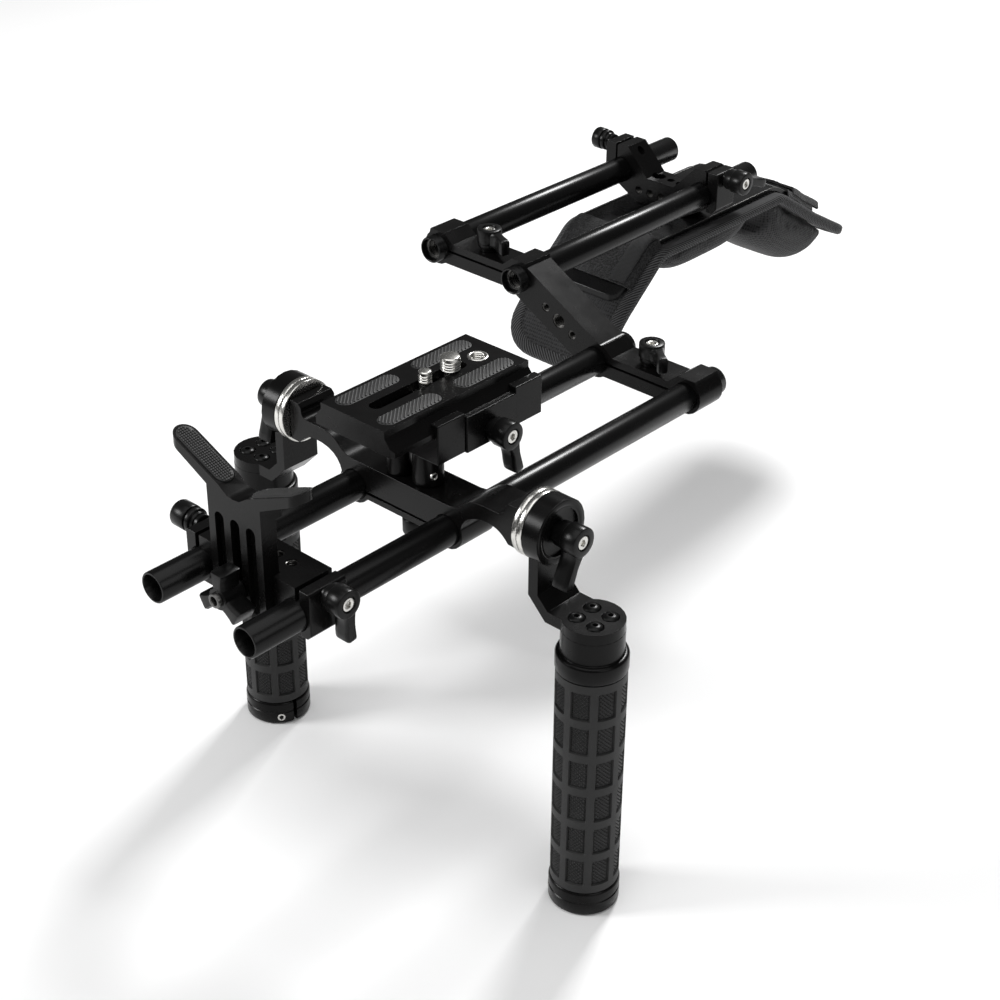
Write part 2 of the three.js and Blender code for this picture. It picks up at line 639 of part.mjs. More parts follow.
place('qr_base', quickReleaseBase(), 'anodised');
place('qr_jaw', slidingJaw(), 'anodised');
const jawBoltSpot = [jaw.outer + gap, (jaw.front + jaw.rear) / 2, jaw.boltZ];
place('qr_lever', mount(wingLever(12.8, 20), 'x', 1, swing.plate, ...jawBoltSpot), 'castBlack');
place('qr_lever_bolt', mount(leverBolt(12.8, 22), 'x', 1, swing.plate, ...jawBoltSpot), 'steel');
place('qr_plate', cameraPlate(), 'anodised');
for (const [index, [x, y]] of padSpots().entries()) {
  place(`qr_pad_${index + 1}`, padStrip(x, y, 4.7, plate.top - 0.7, plate.top + 0.4), 'rubber');
}
place('camera_screw_small', cameraScrew(3.2, 5.8, screwY.small), 'steel');
place('camera_screw_large', cameraScrew(4.75, 7.2, screwY.large), 'steel');
place('camera_bush', cameraBush(), 'steel');

// ---- offset bracket between the rod pairs -----------------------------------------------------------
// One rod clamp bar: pads over the rods, a lower middle, and a slit joining the two bores.
function clampBar(x, z) {
  const { front, rear, padTop, midTop, bottom } = zBracket;
  const top = [[-5.5, padTop], [5, padTop], [11.5, midTop], [48.5, midTop], [55, padTop], [65.5, padTop]];
  const edge = [...top, [68, 2], [60, bottom], [0, bottom], [-8, 2]];
  const bar = outline(edge.map(([u, v]) => [x + u, z + v]).reverse());
  const rings = [0, 60].map((u) => cylinder('y', ringRadius, front, rear, x + u, 0, z));
  return fuse(sweepY(bar, front, rear), ...rings);
}

function clampCuts(x, z) {
  const { front, rear } = zBracket;
  const slit = block(x, x + 60, front - 1, rear + 1, z - 0.7, z + 0.7);
  const hole = cylinder('z', 2.8, z - 6, z + 9, x + 30, (front + rear) / 2, 0);
  return [slit, hole, rodBore(x, z, front, rear), rodBore(x + 60, z, front, rear)];
}

function offsetBracket() {
  const { front, rear, bar } = zBracket;
  const [x0, z0, x1, z1] = [upperRod.inner, upperRod.z, -lowerRod.x, lowerRod.z];
  const diagonal = sweepY(stadium(x0, z0, x1, z1, bar), front, rear, 8);
  const holes = [[0.36, 2.6], [0.53, 4.2], [0.7, 2.6]].map(([share, radius]) => {
    const [x, z] = [x0 + (x1 - x0) * share, z0 + (z1 - z0) * share];
    return cylinder('y', radius, front - 1, rear + 1, x, 0, z);
  });
  const body = fuse(clampBar(upperRod.outer, z0), diagonal, clampBar(x1, z1));
  return cut(body, ...holes, ...clampCuts(upperRod.outer, z0), ...clampCuts(x1, z1));
}

// Vertical clamp lever with its stud and inset socket screw.
function bracketLever(x, z, turn) {
  const stud = turned('z', [
    [0, -9], [2.5, -9], [2.5, 10], [3.3, 10.3], [3.3, 11.6], [1.7, 11.6], [1.7, 10.6], [0, 10.6],
  ], 0, 0, 0);
  const lever = fuse(wingLever(12.5, 18), stud);
  return mount(lever, 'z', 1, turn, x, (zBracket.front + zBracket.rear) / 2, z + zBracket.midTop + gap);
}

place('offset_bracket', offsetBracket(), 'anodised');
place('offset_lever_upper', bracketLever(-115, upperRod.z, swing.upper), 'castBlack');
place('offset_lever_lower', bracketLever(0, 0, swing.lower), 'castBlack');

// ---- shoulder rest ----------------------------------------------------------------------------------
const restMid = (rest.front + rest.rear) / 2;

function restBracket() {
  const { x, front, rear, top, floor, bridgeTop, split } = rest;
  const half = [
    [10, bridgeTop], [25.5, top], [split - 1, top], [split, top - 1], [split, 21.5], [18, floor],
  ];
  const leftEdge = half.map(([u, v]) => [x - u, v]).reverse();
  const section = outline([...leftEdge, ...half.map(([u, v]) => [x + u, v])]);
  const channels = [-30, 30].map((u) => rodBore(x + u, upperRod.z, front, rear));
  const topHoles = [[-7, 8, 4.2], [2, 8, 2.4], [10.5, 8, 4]]
    .map(([u, v, r]) => cylinder('z', r, floor - 1, bridgeTop + 1, x + u, front + v, 0));
  const faceHoles = [-16, -7.5, 1, 9.5].map((u) => (
    cylinder('y', 2.5, front - 1, rear + 1, x + u, 0, 20.4)
  ));
  const bolts = [x + 16, x - 40].map((start) => (
    cylinder('x', boltHole, start, start + 24, 0, restMid, rest.boltZ)
  ));
  return cut(sweepY(section, front, rear), ...channels, ...topHoles, ...faceHoles, ...bolts);
}

function restJaw(side) {
  const { x, front, rear, top, jawInner, jawOuter } = rest;
  const points = [
    [jawInner, top], [jawInner, 20.5], [jawOuter - 3, 20.5], [jawOuter, 24], [jawOuter, top - 1],
    [jawOuter - 1, top],
  ];
  const handed = points.map(([u, v]) => [x + side * u, v]);
  const section = outline(side > 0 ? handed : handed.reverse());
  const bore = rodBore(x + side * 30, upperRod.z, front, rear);
  const bolt = cylinder('x', boltHole, x + side * 38 - 6, x + side * 38 + 6, 0, restMid, rest.boltZ);
  return cut(sweepY(section, front, rear), bore, bolt);
}

// Centre line of plate and pad in (y, z), from the chest flap over the shoulder to the back.
const restLine = [[222.5, -50.5], [252, -20], [284, 7.2], [404, 7.2], [442, -17], [490, -44]];

// Replaces each inner corner of a polyline by an arc made of short steps.
function roundedPath(points, radius, steps = 4) {
  const path = [new THREE.Vector2(...points[0])];
  for (let i = 1; i < points.length - 1; i += 1) {
    const corner = new THREE.Vector2(...points[i]);
    const before = new THREE.Vector2(...points[i - 1]).sub(corner).normalize();
    const after = new THREE.Vector2(...points[i + 1]).sub(corner).normalize();
    const reach = radius / Math.tan(before.angleTo(after) / 2);
    const start = corner.clone().addScaledVector(before, reach);
    const end = corner.clone().addScaledVector(after, reach);
    const curve = new THREE.QuadraticBezierCurve(start, corner, end);
    path.push(...curve.getPoints(steps));
  }
  path.push(new THREE.Vector2(...points[points.length - 1]));
  return path;
}

// Closed outline of a strip that keeps between two offsets from a path (positive is above).
function ribbon(path, low, high) {
  const normals = path.map((point, i) => {
    const ahead = path[Math.min(i + 1, path.length - 1)];
    const behind = path[Math.max(i - 1, 0)];
    const heading = ahead.clone().sub(behind).normalize();
    return new THREE.Vector2(-heading.y, heading.x);
  });
  const edge = (offset) => path.map((point, i) => point.clone().addScaledVector(normals[i], offset));
  return new THREE.Shape([...edge(low), ...edge(high).reverse()]);
}

function restPlate() {
  const path = roundedPath([[253.5, -18.7], restLine[2], restLine[3], [436, -13.2]], 14);
  const strip = sweepX(ribbon(path, 2, 4.8), rest.x - 29, rest.x + 29);
  return common(strip, sweepZ(roundedRectangle(rest.x, 29, 253, 437, 9), -60, 40, 3));
}

function roundedRectangle(x, half, y0, y1, radius) {
  const shape = new THREE.Shape();
  shape.absarc(x + half - radius, y0 + radius, radius, -Math.PI / 2, 0, false);
  shape.absarc(x + half - radius, y1 - radius, radius, 0, Math.PI / 2, false);
  shape.absarc(x - half + radius, y1 - radius, radius, Math.PI / 2, Math.PI, false);
  shape.absarc(x - half + radius, y0 + radius, radius, Math.PI, Math.PI * 1.5, false);
  shape.closePath();
  return shape;
}

function restMat() {
  const path = roundedPath(restLine, 16);
  const strip = sweepX(ribbon(path, -4.2, 1.3), rest.x - mat.half, rest.x + mat.half);
  const plan = roundedRectangle(rest.x, mat.half, mat.front, mat.rear, mat.corner);
  return common(strip, sweepZ(plan, -80, 40, 5));
}

// Plain pillow under the mat; the soft shape is worked out where the fabric is made.
function cushion(y, z, length, height, tilt) {
  const pillow = new RoundedBoxGeometry(62, length, height, 2, height * 0.45);
  pillow.rotateX(tilt);
  pillow.translate(rest.x, y, z);
  return mergeVertices(stripped(pillow), 1e-4);
}

// Hook-and-loop strap folded over the plate: a low staple section laid on a sloping stretch.
function strap(y, z, width, tilt) {
  const outer = 31.2;
  const inner = 29.4;
  const staple = outline([
    [-inner, 1.9], [-inner, 5.2], [inner, 5.2], [inner, 1.9], [outer, 1.9], [outer, 5.7],
    [outer - 1.2, 6.9], [-outer + 1.2, 6.9], [-outer, 5.7], [-outer, 1.9],
  ]);
  const band = sweepY(staple, -width / 2, width / 2);
  band.rotateX(tilt);
  band.translate(rest.x, y, z);
  return band;
}

place('rest_bracket', restBracket(), 'anodised');
place('rest_jaw_right', restJaw(1), 'anodised');
place('rest_jaw_left', restJaw(-1), 'anodised');
const restReach = rest.jawOuter + gap;
const restBoltSpot = [rest.x + restReach, restMid, rest.boltZ];
place('rest_lever', mount(wingLever(14, 21), 'x', 1, swing.rest, ...restBoltSpot), 'castBlack');
place('rest_lever_bolt', mount(leverBolt(14, 22), 'x', 1, swing.rest, ...restBoltSpot), 'steel');
const restNutSpot = [rest.x - restReach, restMid, rest.boltZ];
place('rest_end_nut', mount(endNut(14, 22), 'x', -1, 0, ...restNutSpot), 'castBlack');
place('rest_plate', restPlate(), 'satinPlate');
place('rest_mat', restMat(), 'fabric');
place('rest_cushion_front', cushion(336, -6.8, 78, 18, 0), 'fabric');
place('rest_cushion_rear', cushion(429, -29.6, 64, 24, -0.56), 'fabric');
place('rest_strap_front', strap(270, -4.7, 28, 0.705), 'fabric');
place('rest_strap_rear', strap(424, -5.6, 26, -0.567), 'fabric');

// The finished rig stands on z = 0 with the origin under the middle of its bounding box.
const extent = new THREE.Box3().setFromObject(rig);
const middle = extent.getCenter(new THREE.Vector3());
for (const mesh of rig.children) {
  mesh.geometry.translate(-middle.x, -middle.y, -extent.min.z);
}

export default rig;
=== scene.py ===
"""Looks of a camera shoulder rig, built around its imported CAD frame.

Lengths are millimetres of the layout, and at() turns a point of it into metres of the frame.
"""

import math
import random

import bmesh
import bpy
import numpy as np
from mathutils import Matrix, Vector


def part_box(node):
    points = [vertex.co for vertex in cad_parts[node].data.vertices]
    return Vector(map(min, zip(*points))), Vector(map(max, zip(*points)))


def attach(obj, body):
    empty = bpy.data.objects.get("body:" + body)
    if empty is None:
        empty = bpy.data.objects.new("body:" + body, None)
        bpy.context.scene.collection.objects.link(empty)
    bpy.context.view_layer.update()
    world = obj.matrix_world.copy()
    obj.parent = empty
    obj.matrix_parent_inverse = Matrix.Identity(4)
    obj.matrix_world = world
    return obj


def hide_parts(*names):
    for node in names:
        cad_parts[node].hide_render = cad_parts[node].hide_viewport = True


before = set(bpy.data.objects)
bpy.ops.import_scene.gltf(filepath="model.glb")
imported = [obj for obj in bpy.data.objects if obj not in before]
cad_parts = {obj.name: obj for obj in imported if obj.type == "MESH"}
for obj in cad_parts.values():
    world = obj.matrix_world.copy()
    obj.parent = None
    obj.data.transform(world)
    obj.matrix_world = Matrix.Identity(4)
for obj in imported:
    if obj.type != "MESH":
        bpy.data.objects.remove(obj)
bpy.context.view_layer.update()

# ---- the layout the parts are drawn in -----------------------------------------------
MM = 0.001
SIDES = (("right", 1), ("left", -1))
ROD_X = 30.0
ROD_FRONT = -132.0
UPPER_INNER = -85.0
UPPER_OUTER = -145.0
UPPER_Z = 30.0
LENS_BOLT = (40.3, -93.25, 10.2)
PLATE_BOLT = (28.3, 21.5, 39.3)
REST_BOLT = (-72.5, 333.5, 41.6)
GRIP_KNOB = (86.7, 0.0, 18.7)
ROSETTE = (76.5, 0.0, 18.7)
GRIP_X = 108.6
REST_X = -115.0
ROSETTE_THICK = 2.9
ARM_FACE = 88.6
PLATE_FACE = 58.3
# How far each lever is turned about its own axis, in radians.
SWING = {
    "lens": 1.72, "plate": 1.9, "grip": 1.25, "rest": 2.9,
    "cradle": -0.9, "upper": 1.27, "lower": 1.03,
}

rod_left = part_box("rod_lower_left")
rod_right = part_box("rod_lower_right")
ORIGIN = Vector((
    (rod_left[0].x + rod_right[1].x) / 2,
    rod_left[0].y - ROD_FRONT * MM,
    (rod_left[0].z + rod_left[1].z) / 2,
))


def at(x, y, z):
    """Metres in the frame for a point of the layout."""
    return ORIGIN + Vector((x, y, z)) * MM


# ---- node materials ------------------------------------------------------------------
def new_material(name, color, roughness, metallic=0.0, sheen=0.0, specular=0.5):
    material = bpy.data.materials.new(name)
    material.use_nodes = True
    shader = material.node_tree.nodes["Principled BSDF"]
    shader.inputs["Base Color"].default_value = (*color, 1)
    shader.inputs["Roughness"].default_value = roughness
    shader.inputs["Metallic"].default_value = metallic
    shader.inputs["Sheen Weight"].default_value = sheen
    shader.inputs["Specular IOR Level"].default_value = specular
    return material, material.node_tree, shader


def node(tree, kind, **values):
    made = tree.nodes.new(kind)
    for key, value in values.items():
        if key in made.inputs:
            made.inputs[key].default_value = value
        else:
            setattr(made, key, value)
    return made


def coordinates(tree, source="Object", scale=(1, 1, 1)):
    """Texture coordinates in metres (Object) or in the piece's own UV."""
    origin = node(tree, "ShaderNodeTexCoord")
    mapping = node(tree, "ShaderNodeMapping")
    mapping.inputs["Scale"].default_value = scale
    tree.links.new(origin.outputs[source], mapping.inputs["Vector"])
    return mapping.outputs["Vector"]


def noise(tree, vector, scale, detail=3.0):
    texture = node(tree, "ShaderNodeTexNoise", Scale=scale, Detail=detail)
    tree.links.new(vector, texture.inputs["Vector"])
    return texture.outputs["Fac"]


def ramp(tree, value, stops):
    """Colour ramp through (position, grey or colour) stops."""
    made = node(tree, "ShaderNodeValToRGB")
    elements = made.color_ramp.elements
    while len(elements) < len(stops):
        elements.new(0.5)
    for element, (position, color) in zip(elements, stops):
        element.position = position
        element.color = (*color, 1) if hasattr(color, "__len__") else (color, color, color, 1)
    tree.links.new(value, made.inputs["Fac"])
    return made.outputs["Color"]


def math_node(tree, operation, first, second=None):
    made = node(tree, "ShaderNodeMath", operation=operation)
    for socket, value in zip(made.inputs, (first, second)):
        if value is None:
            continue
        if isinstance(value, (int, float)):
            socket.default_value = value
        else:
            tree.links.new(value, socket)
    return made.outputs["Value"]


def bump(tree, shader, height, strength, distance):
    made = node(tree, "ShaderNodeBump", Strength=strength, Distance=distance)
    tree.links.new(height, made.inputs["Height"])
    tree.links.new(made.outputs["Normal"], shader.inputs["Normal"])


def drive(tree, shader, socket, value, stops):
    """Sets one of the shader's sockets by a ramp of a texture's value."""
    tree.links.new(ramp(tree, value, stops), shader.inputs[socket])


def weighted(tree, first, first_share, second, second_share):
    """Sum of two texture values, each times its share."""
    return math_node(tree, "ADD", math_node(tree, "MULTIPLY", first, first_share),
                     math_node(tree, "MULTIPLY", second, second_share))


def blasted_metal(name, dark, light, rough, specular=0.3, grain=0.00004, wear=0.06):
    """Bead-blasted, dyed metal: fine grain, cloudy sheen and faint handling marks."""
    material, tree, shader = new_material(name, dark, rough, specular=specular)
    vector = coordinates(tree)
    cloud = noise(tree, vector, 28, 4)
    drive(tree, shader, "Base Color", cloud, [(0.35, dark), (0.7, light)])
    marks = noise(tree, vector, 90, 5)
    drive(tree, shader, "Roughness", marks, [(0.3, rough - wear / 3), (0.72, rough + wear * 2 / 3)])
    bump(tree, shader, noise(tree, vector, 5200, 2), 0.2, grain)
    return material


def turned_steel(name, color, rough):
    """Bright turned metal with fine tool lines and small stains."""
    material, tree, shader = new_material(name, color, rough, 1.0)
    vector = coordinates(tree)
    stains = noise(tree, vector, 120, 3)
    darker = tuple(channel * 0.86 for channel in color)
    drive(tree, shader, "Base Color", stains, [(0.3, darker), (0.65, color)])
    lines = noise(tree, coordinates(tree, scale=(4000, 900, 4000)), 1, 2)
    drive(tree, shader, "Roughness", lines, [(0.3, rough - 0.04), (0.7, rough + 0.08)])
    bump(tree, shader, lines, 0.06, 0.00003)
    return material


def moulded_rubber(name, dark, light, rough):
    """Moulded rubber: fine pebble grain, dusty bloom and soft sheen."""
    material, tree, shader = new_material(name, dark, rough, sheen=0.05, specular=0.35)
    vector = coordinates(tree)
    bloom = noise(tree, vector, 60, 5)
    drive(tree, shader, "Base Color", bloom, [(0.35, dark), (0.72, light)])
    pebble = noise(tree, vector, 3600, 3)
    drive(tree, shader, "Roughness", pebble, [(0.3, rough - 0.08), (0.7, rough + 0.1)])
    bump(tree, shader, pebble, 0.4, 0.00012)
    return material


def spacer_mesh(name, thread, hole, pitch):
    """Knitted spacer mesh: close rows of small holes between raised threads, the holes painted dark as
    painted shade in the openings.
    """
    material, tree, shader = new_material(name, thread, 0.8, sheen=0.15, specular=0.2)
    shader.inputs["Sheen Roughness"].default_value = 0.5
    cells = node(tree, "ShaderNodeTexVoronoi", Scale=1 / pitch, Randomness=0.3)
    tree.links.new(coordinates(tree), cells.inputs["Vector"])
    fibres = noise(tree, coordinates(tree), 2600, 3)
    relief_and_painted_shade = weighted(tree, cells.outputs["Distance"], 1.1, fibres, 0.3)
    # Colour follows the relief: the low places, the holes, are painted dark as painted shade, and the
    # threads keep their own colour.
    drive(tree, shader, "Base Color", relief_and_painted_shade, [(0.32, hole), (0.72, thread)])
    bump(tree, shader, relief_and_painted_shade, 0.8, 0.0005)
    return material


def woven_tape(name, dark, light, pitch):
    """Twill tape: slanted ribs across the tape's own length, with loose fibres; the ribs' crests are
    painted lighter and the grooves darker, as painted light and painted shade. UV is in metres.
    """
    material, tree, shader = new_material(name, dark, 0.86, sheen=0.1, specular=0.2)
    ribs = node(tree, "ShaderNodeTexWave", wave_type="BANDS", bands_direction="DIAGONAL",
                Scale=0.5 / pitch)
    ribs.inputs["Distortion"].default_value = 0.6
    tree.links.new(coordinates(tree, "UV"), ribs.inputs["Vector"])
    fibres = noise(tree, coordinates(tree), 3000, 3)
    relief_and_painted_shade = weighted(tree, ribs.outputs["Fac"], 0.7, fibres, 0.45)
    # Colour follows the relief: painted shade in the grooves between the ribs, painted light on their
    # crests; the fibres add random tone.
    drive(tree, shader, "Base Color", relief_and_painted_shade, [(0.3, dark), (0.85, light)])
    bump(tree, shader, relief_and_painted_shade, 0.6, 0.0004)
    return material


def loop_pile(name, dark, light):
    """Loop side of a hook-and-loop strap: matted fibres in uneven tufts, painted darker where the pile is
    low and lighter where it is high, as painted shade and painted light.
    """
    material, tree, shader = new_material(name, dark, 0.95, sheen=0.15, specular=0.15)
    vector = coordinates(tree)
    tufts = node(tree, "ShaderNodeTexVoronoi", Scale=900.0)
    tree.links.new(vector, tufts.inputs["Vector"])
    fibres = noise(tree, vector, 1500, 6)
    relief_and_painted_shade = weighted(tree, tufts.outputs["Distance"], 0.6, fibres, 0.7)
    # Colour follows the relief: painted shade where the pile is low, painted light where it is high.
    drive(tree, shader, "Base Color", relief_and_painted_shade, [(0.35, dark), (0.9, light)])
    bump(tree, shader, relief_and_painted_shade, 0.9, 0.0006)
    return material


def grey(value, blue=0.0):
    """Grey, with a little more blue in it where that is given."""
    return value, value, value + blue


ANODISED = blasted_metal("anodised", (0.003, 0.0029, 0.0029), (0.0045, 0.0043, 0.0043), 0.25, 0.14)
TUBE = blasted_metal("anodised_tube", grey(0.003), grey(0.004, 0.0001), 0.27, 0.2,
                     grain=0.00001, wear=0.012)
CAST = blasted_metal("cast_black", grey(0.004), grey(0.006), 0.28, 0.17, 0.00005)
STEEL = turned_steel("steel", (0.72, 0.71, 0.68), 0.22)
DARK_STEEL = turned_steel("dark_steel", (0.12, 0.118, 0.115), 0.3)
CUT_THREAD = turned_steel("cut_thread", (0.1, 0.098, 0.094), 0.24)
GRIP_RUBBER = moulded_rubber("grip_rubber", grey(0.009), grey(0.015), 0.55)
RIBBED_RUBBER = moulded_rubber("ribbed_rubber", grey(0.01), grey(0.018), 0.5)
SATIN = blasted_metal("satin_plate", grey(0.004, 0.0002), grey(0.006, 0.0002), 0.26, 0.2, 0.00003)
# The second colour of each mesh fabric is painted shade in its holes.
MESH = spacer_mesh("mesh_fabric", grey(0.03, 0.001), grey(0.002), 0.0017)
MESH_FLAT = spacer_mesh("mesh_fabric_flat", grey(0.032, 0.001), grey(0.003), 0.0015)
# Each woven tape's dark colour is painted shade in its grooves and its light colour is painted light on its
# rib crests.
TWILL = woven_tape("twill_binding", grey(0.004), grey(0.075, 0.002), 0.0017)
TAPE = woven_tape("woven_tape", grey(0.004), grey(0.04, 0.001), 0.0007)
THREAD = woven_tape("stitch_thread", grey(0.03), grey(0.1), 0.0005)
# The pile's dark colour is painted shade in its hollows and its light colour is painted light on its tufts.
PILE = loop_pile("loop_pile", grey(0.004), grey(0.036, 0.001))


# ---- mesh building -------------------------------------------------------------------
class Form:
    """Points and faces of one piece, gathered from several closed shapes."""

    def __init__(self):
        self.points = []
        self.faces = []
        self.uv = []

    def add(self, points, faces, matrix=None, uv=None):
        start = len(self.points)
        moved = [Vector(p) if matrix is None else matrix @ Vector(p) for p in points]
        self.points += moved
        self.faces += [tuple(start + i for i in face) for face in faces]
        self.uv += list(uv) if uv is not None else [(0.0, 0.0)] * len(moved)
        return self


def grid_faces(rows, columns, wrap_rows=False, wrap_columns=True):
    faces = []
    for row in range(rows if wrap_rows else rows - 1):
        for column in range(columns if wrap_columns else columns - 1):
            above, beside = (row + 1) % rows, (column + 1) % columns
            faces.append((row * columns + column, row * columns + beside, above * columns + beside,
                          above * columns + column))
    return faces


def capped_faces(rings, count):
    """Faces of a closed body through rings of so many points each."""
    first = tuple(range(count - 1, -1, -1))
    last = tuple((rings - 1) * count + i for i in range(count))
    return grid_faces(rings, count) + [first, last]


def polar(radius, angle, z, x=0.0, y=0.0):
    """Metres for a point at a radius and angle about the upright line through x, y."""
    return (x + radius * math.cos(angle)) * MM, (y + radius * math.sin(angle)) * MM, z * MM


def hexagon(angle):
    """Shape of a hexagonal hole whose corners lie at the full radius, for turned()."""
    return math.cos(math.pi / 6) / math.cos(angle % (math.pi / 3) - math.pi / 6), 0.0


def turned(profile, segments=48, closed=False):
    """Body of revolution about Z. A profile point is (radius, station) or (radius, station, shape), where
    shape(angle) gives (share of the radius, lift)."""
    points = []
    for radius, station, *shape in profile:
        for step in range(segments):
            angle = 2 * math.pi * step / segments
            share, lift = shape[0](angle) if shape else (1.0, 0.0)
            points.append(polar(radius * share, angle, station + lift))
    return points, grid_faces(len(profile), segments, wrap_rows=closed)


def rounded_ring(width, height, power=5.0, count=24):
    """Cross-section with soft corners, as (u, v) pairs."""
    ring = []
    for step in range(count):
        angle = 2 * math.pi * (step + 0.5) / count
        c, s = math.cos(angle), math.sin(angle)
        scale = (abs(c) ** power + abs(s) ** power) ** (-1 / power)
        ring.append((width / 2 * c * scale, height / 2 * s * scale))
    return ring


def loft(stations):
    """Closed body through rings. A station is (centre, first axis, second axis, ring)."""
    points = []
    for centre, first, second, ring in stations:
        for u, v in ring:
            points.append((Vector(centre) + Vector(first) * u + Vector(second) * v) * MM)
    return points, capped_faces(len(stations), len(stations[0][3]))


def closed_sheet(upper, lower, rows, columns, uv=None):
    """Closed body between two grids of points with the same outline."""
    sheet = grid_faces(rows + 1, columns + 1, wrap_columns=False)
    form = Form().add(upper, sheet, None, uv).add(lower, sheet, None, uv)
    edge = list(range(columns)) + [row * (columns + 1) + columns for row in range(rows)]
    edge += [rows * (columns + 1) + column for column in range(columns, 0, -1)]
    edge += [row * (columns + 1) for row in range(rows, 0, -1)]
    count = len(upper)
    form.faces += [(a, b, b + count, a + count) for a, b in zip(edge, edge[1:] + edge[:1])]
    return form


def placing(axis, sense, turn, spot):
    """Moves a shape built along +Z to its place; turn swings it about its own axis first."""
    matrix = Matrix.Rotation(turn, 4, "Z")
    if axis == "x":
        matrix = Matrix.Rotation(sense * math.pi / 2, 4, "Y") @ matrix
    if axis == "y":
        matrix = Matrix.Rotation(-sense * math.pi / 2, 4, "X") @ matrix
    if axis == "z" and sense < 0:
        matrix = Matrix.Rotation(math.pi, 4, "X") @ matrix
    return Matrix.Translation(at(*spot)) @ matrix


def facing_out(x, y, z, reach, heading):
    """Places a shape built along +Z so that it points away from the upright line through x, y."""
    spot = at(x + reach * math.cos(heading), y + reach * math.sin(heading), z)
    turn = Matrix.Rotation(heading, 4, "Z") @ Matrix.Rotation(math.pi / 2, 4, "Y")
    return Matrix.Translation(spot) @ turn


def shade_smooth(mesh):
    mesh.polygons.foreach_set("use_smooth", [True] * len(mesh.polygons))


def add_object(name, data):
    obj = bpy.data.objects.new(name, data)
    bpy.context.scene.collection.objects.link(obj)
    return obj


def finish_piece(obj, body, replaced=()):
    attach(obj, body)
    if replaced:
        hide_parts(*replaced)
    return obj


def make_object(name, form, material, angle=38.0):
    mesh = bpy.data.meshes.new(name)
    mesh.from_pydata([tuple(p) for p in form.points], [], form.faces)
    layer = mesh.uv_layers.new(name="UVMap")
    for loop in mesh.loops:
        layer.data[loop.index].uv = form.uv[loop.vertex_index]
    work = bmesh.new()
    work.from_mesh(mesh)
    bmesh.ops.remove_doubles(work, verts=work.verts, dist=1e-7)
    bmesh.ops.recalc_face_normals(work, faces=work.faces)
    work.to_mesh(mesh)
    work.free()
    shade_smooth(mesh)
    mesh.set_sharp_from_angle(angle=math.radians(angle))
    mesh.materials.append(material)
    return add_object(name, mesh)


def piece(name, form, material, body, replaced=(), angle=38.0):
    return finish_piece(make_object(name, form, material, angle), body, replaced)


def carry_over(name, material, width=0.55, segments=3):
    """Keeps a CAD node's shape, with its edges broken as on a machined part."""
    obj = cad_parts[name]
    obj.data.materials.clear()
    obj.data.materials.append(material)
    shade_smooth(obj.data)
    weld = obj.modifiers.new("weld", "WELD")
    weld.merge_threshold = 1e-6
    flat = obj.modifiers.new("flat", "DECIMATE")
    flat.decimate_type = "DISSOLVE"
    flat.angle_limit = math.radians(1.0)
    edge = obj.modifiers.new("edge", "BEVEL")
    edge.width = width * MM
    edge.segments = segments
    edge.limit_method = "ANGLE"
    edge.angle_limit = math.radians(32)
    edge.use_clamp_overlap = True
    normals = obj.modifiers.new("normals", "WEIGHTED_NORMAL")
    normals.mode = "FACE_AREA"
    normals.weight = 90


# ---- rods ----------------------------------------------------------------------------
def thread_profile(radius, start, end, pitch, depth):
    """Inner or outer thread as close rings; depth is positive for grooves that widen the bore."""
    turns = int(abs(end - start) / pitch)
    step = math.copysign(pitch, end - start)
    profile = []
    for turn in range(turns):
        station = start + turn * step
        crest = (radius + depth, station + step * 0.35)
        profile += [(radius, station), crest, (radius, station + step * 0.7)]
    return profile


def rod(name, x, z, front, length, threaded, body):
    """Rod along Y with broken edges, either a plain tube or with a female thread in its front end."""
    outer = [(6.75, 0), (7.2, 0.12), (7.5, 0.55)]
    outer += [(radius, length - station) for radius, station in reversed(outer)]
    if threaded:
        thread = thread_profile(5.2, 20.5, 4, 1.5, 0.75)
        bore = [(6.2, length), (6.2, 24), (5.2, 22)] + thread + [(6.2, 3.4), (6.4, 0.2)]
    else:
        bore = [(6.5, length), (6.2, length - 0.4), (6.2, 0.4), (6.5, 0)]
    tube = Form().add(*turned(outer + bore, 64, closed=True), placing("y", 1, 0, (x, front, z)))
    piece(name + "_tube", tube, TUBE, body, [name])


rod("rod_lower_left", -ROD_X, 0, ROD_FRONT, 322.5, False, "lower_rods")
rod("rod_lower_right", ROD_X, 0, ROD_FRONT, 322.5, False, "lower_rods")
rod("rod_upper_inner", UPPER_INNER, UPPER_Z, 159, 213, True, "offset_arm")
rod("rod_upper_outer", UPPER_OUTER, UPPER_Z, 159, 213, True, "offset_arm")


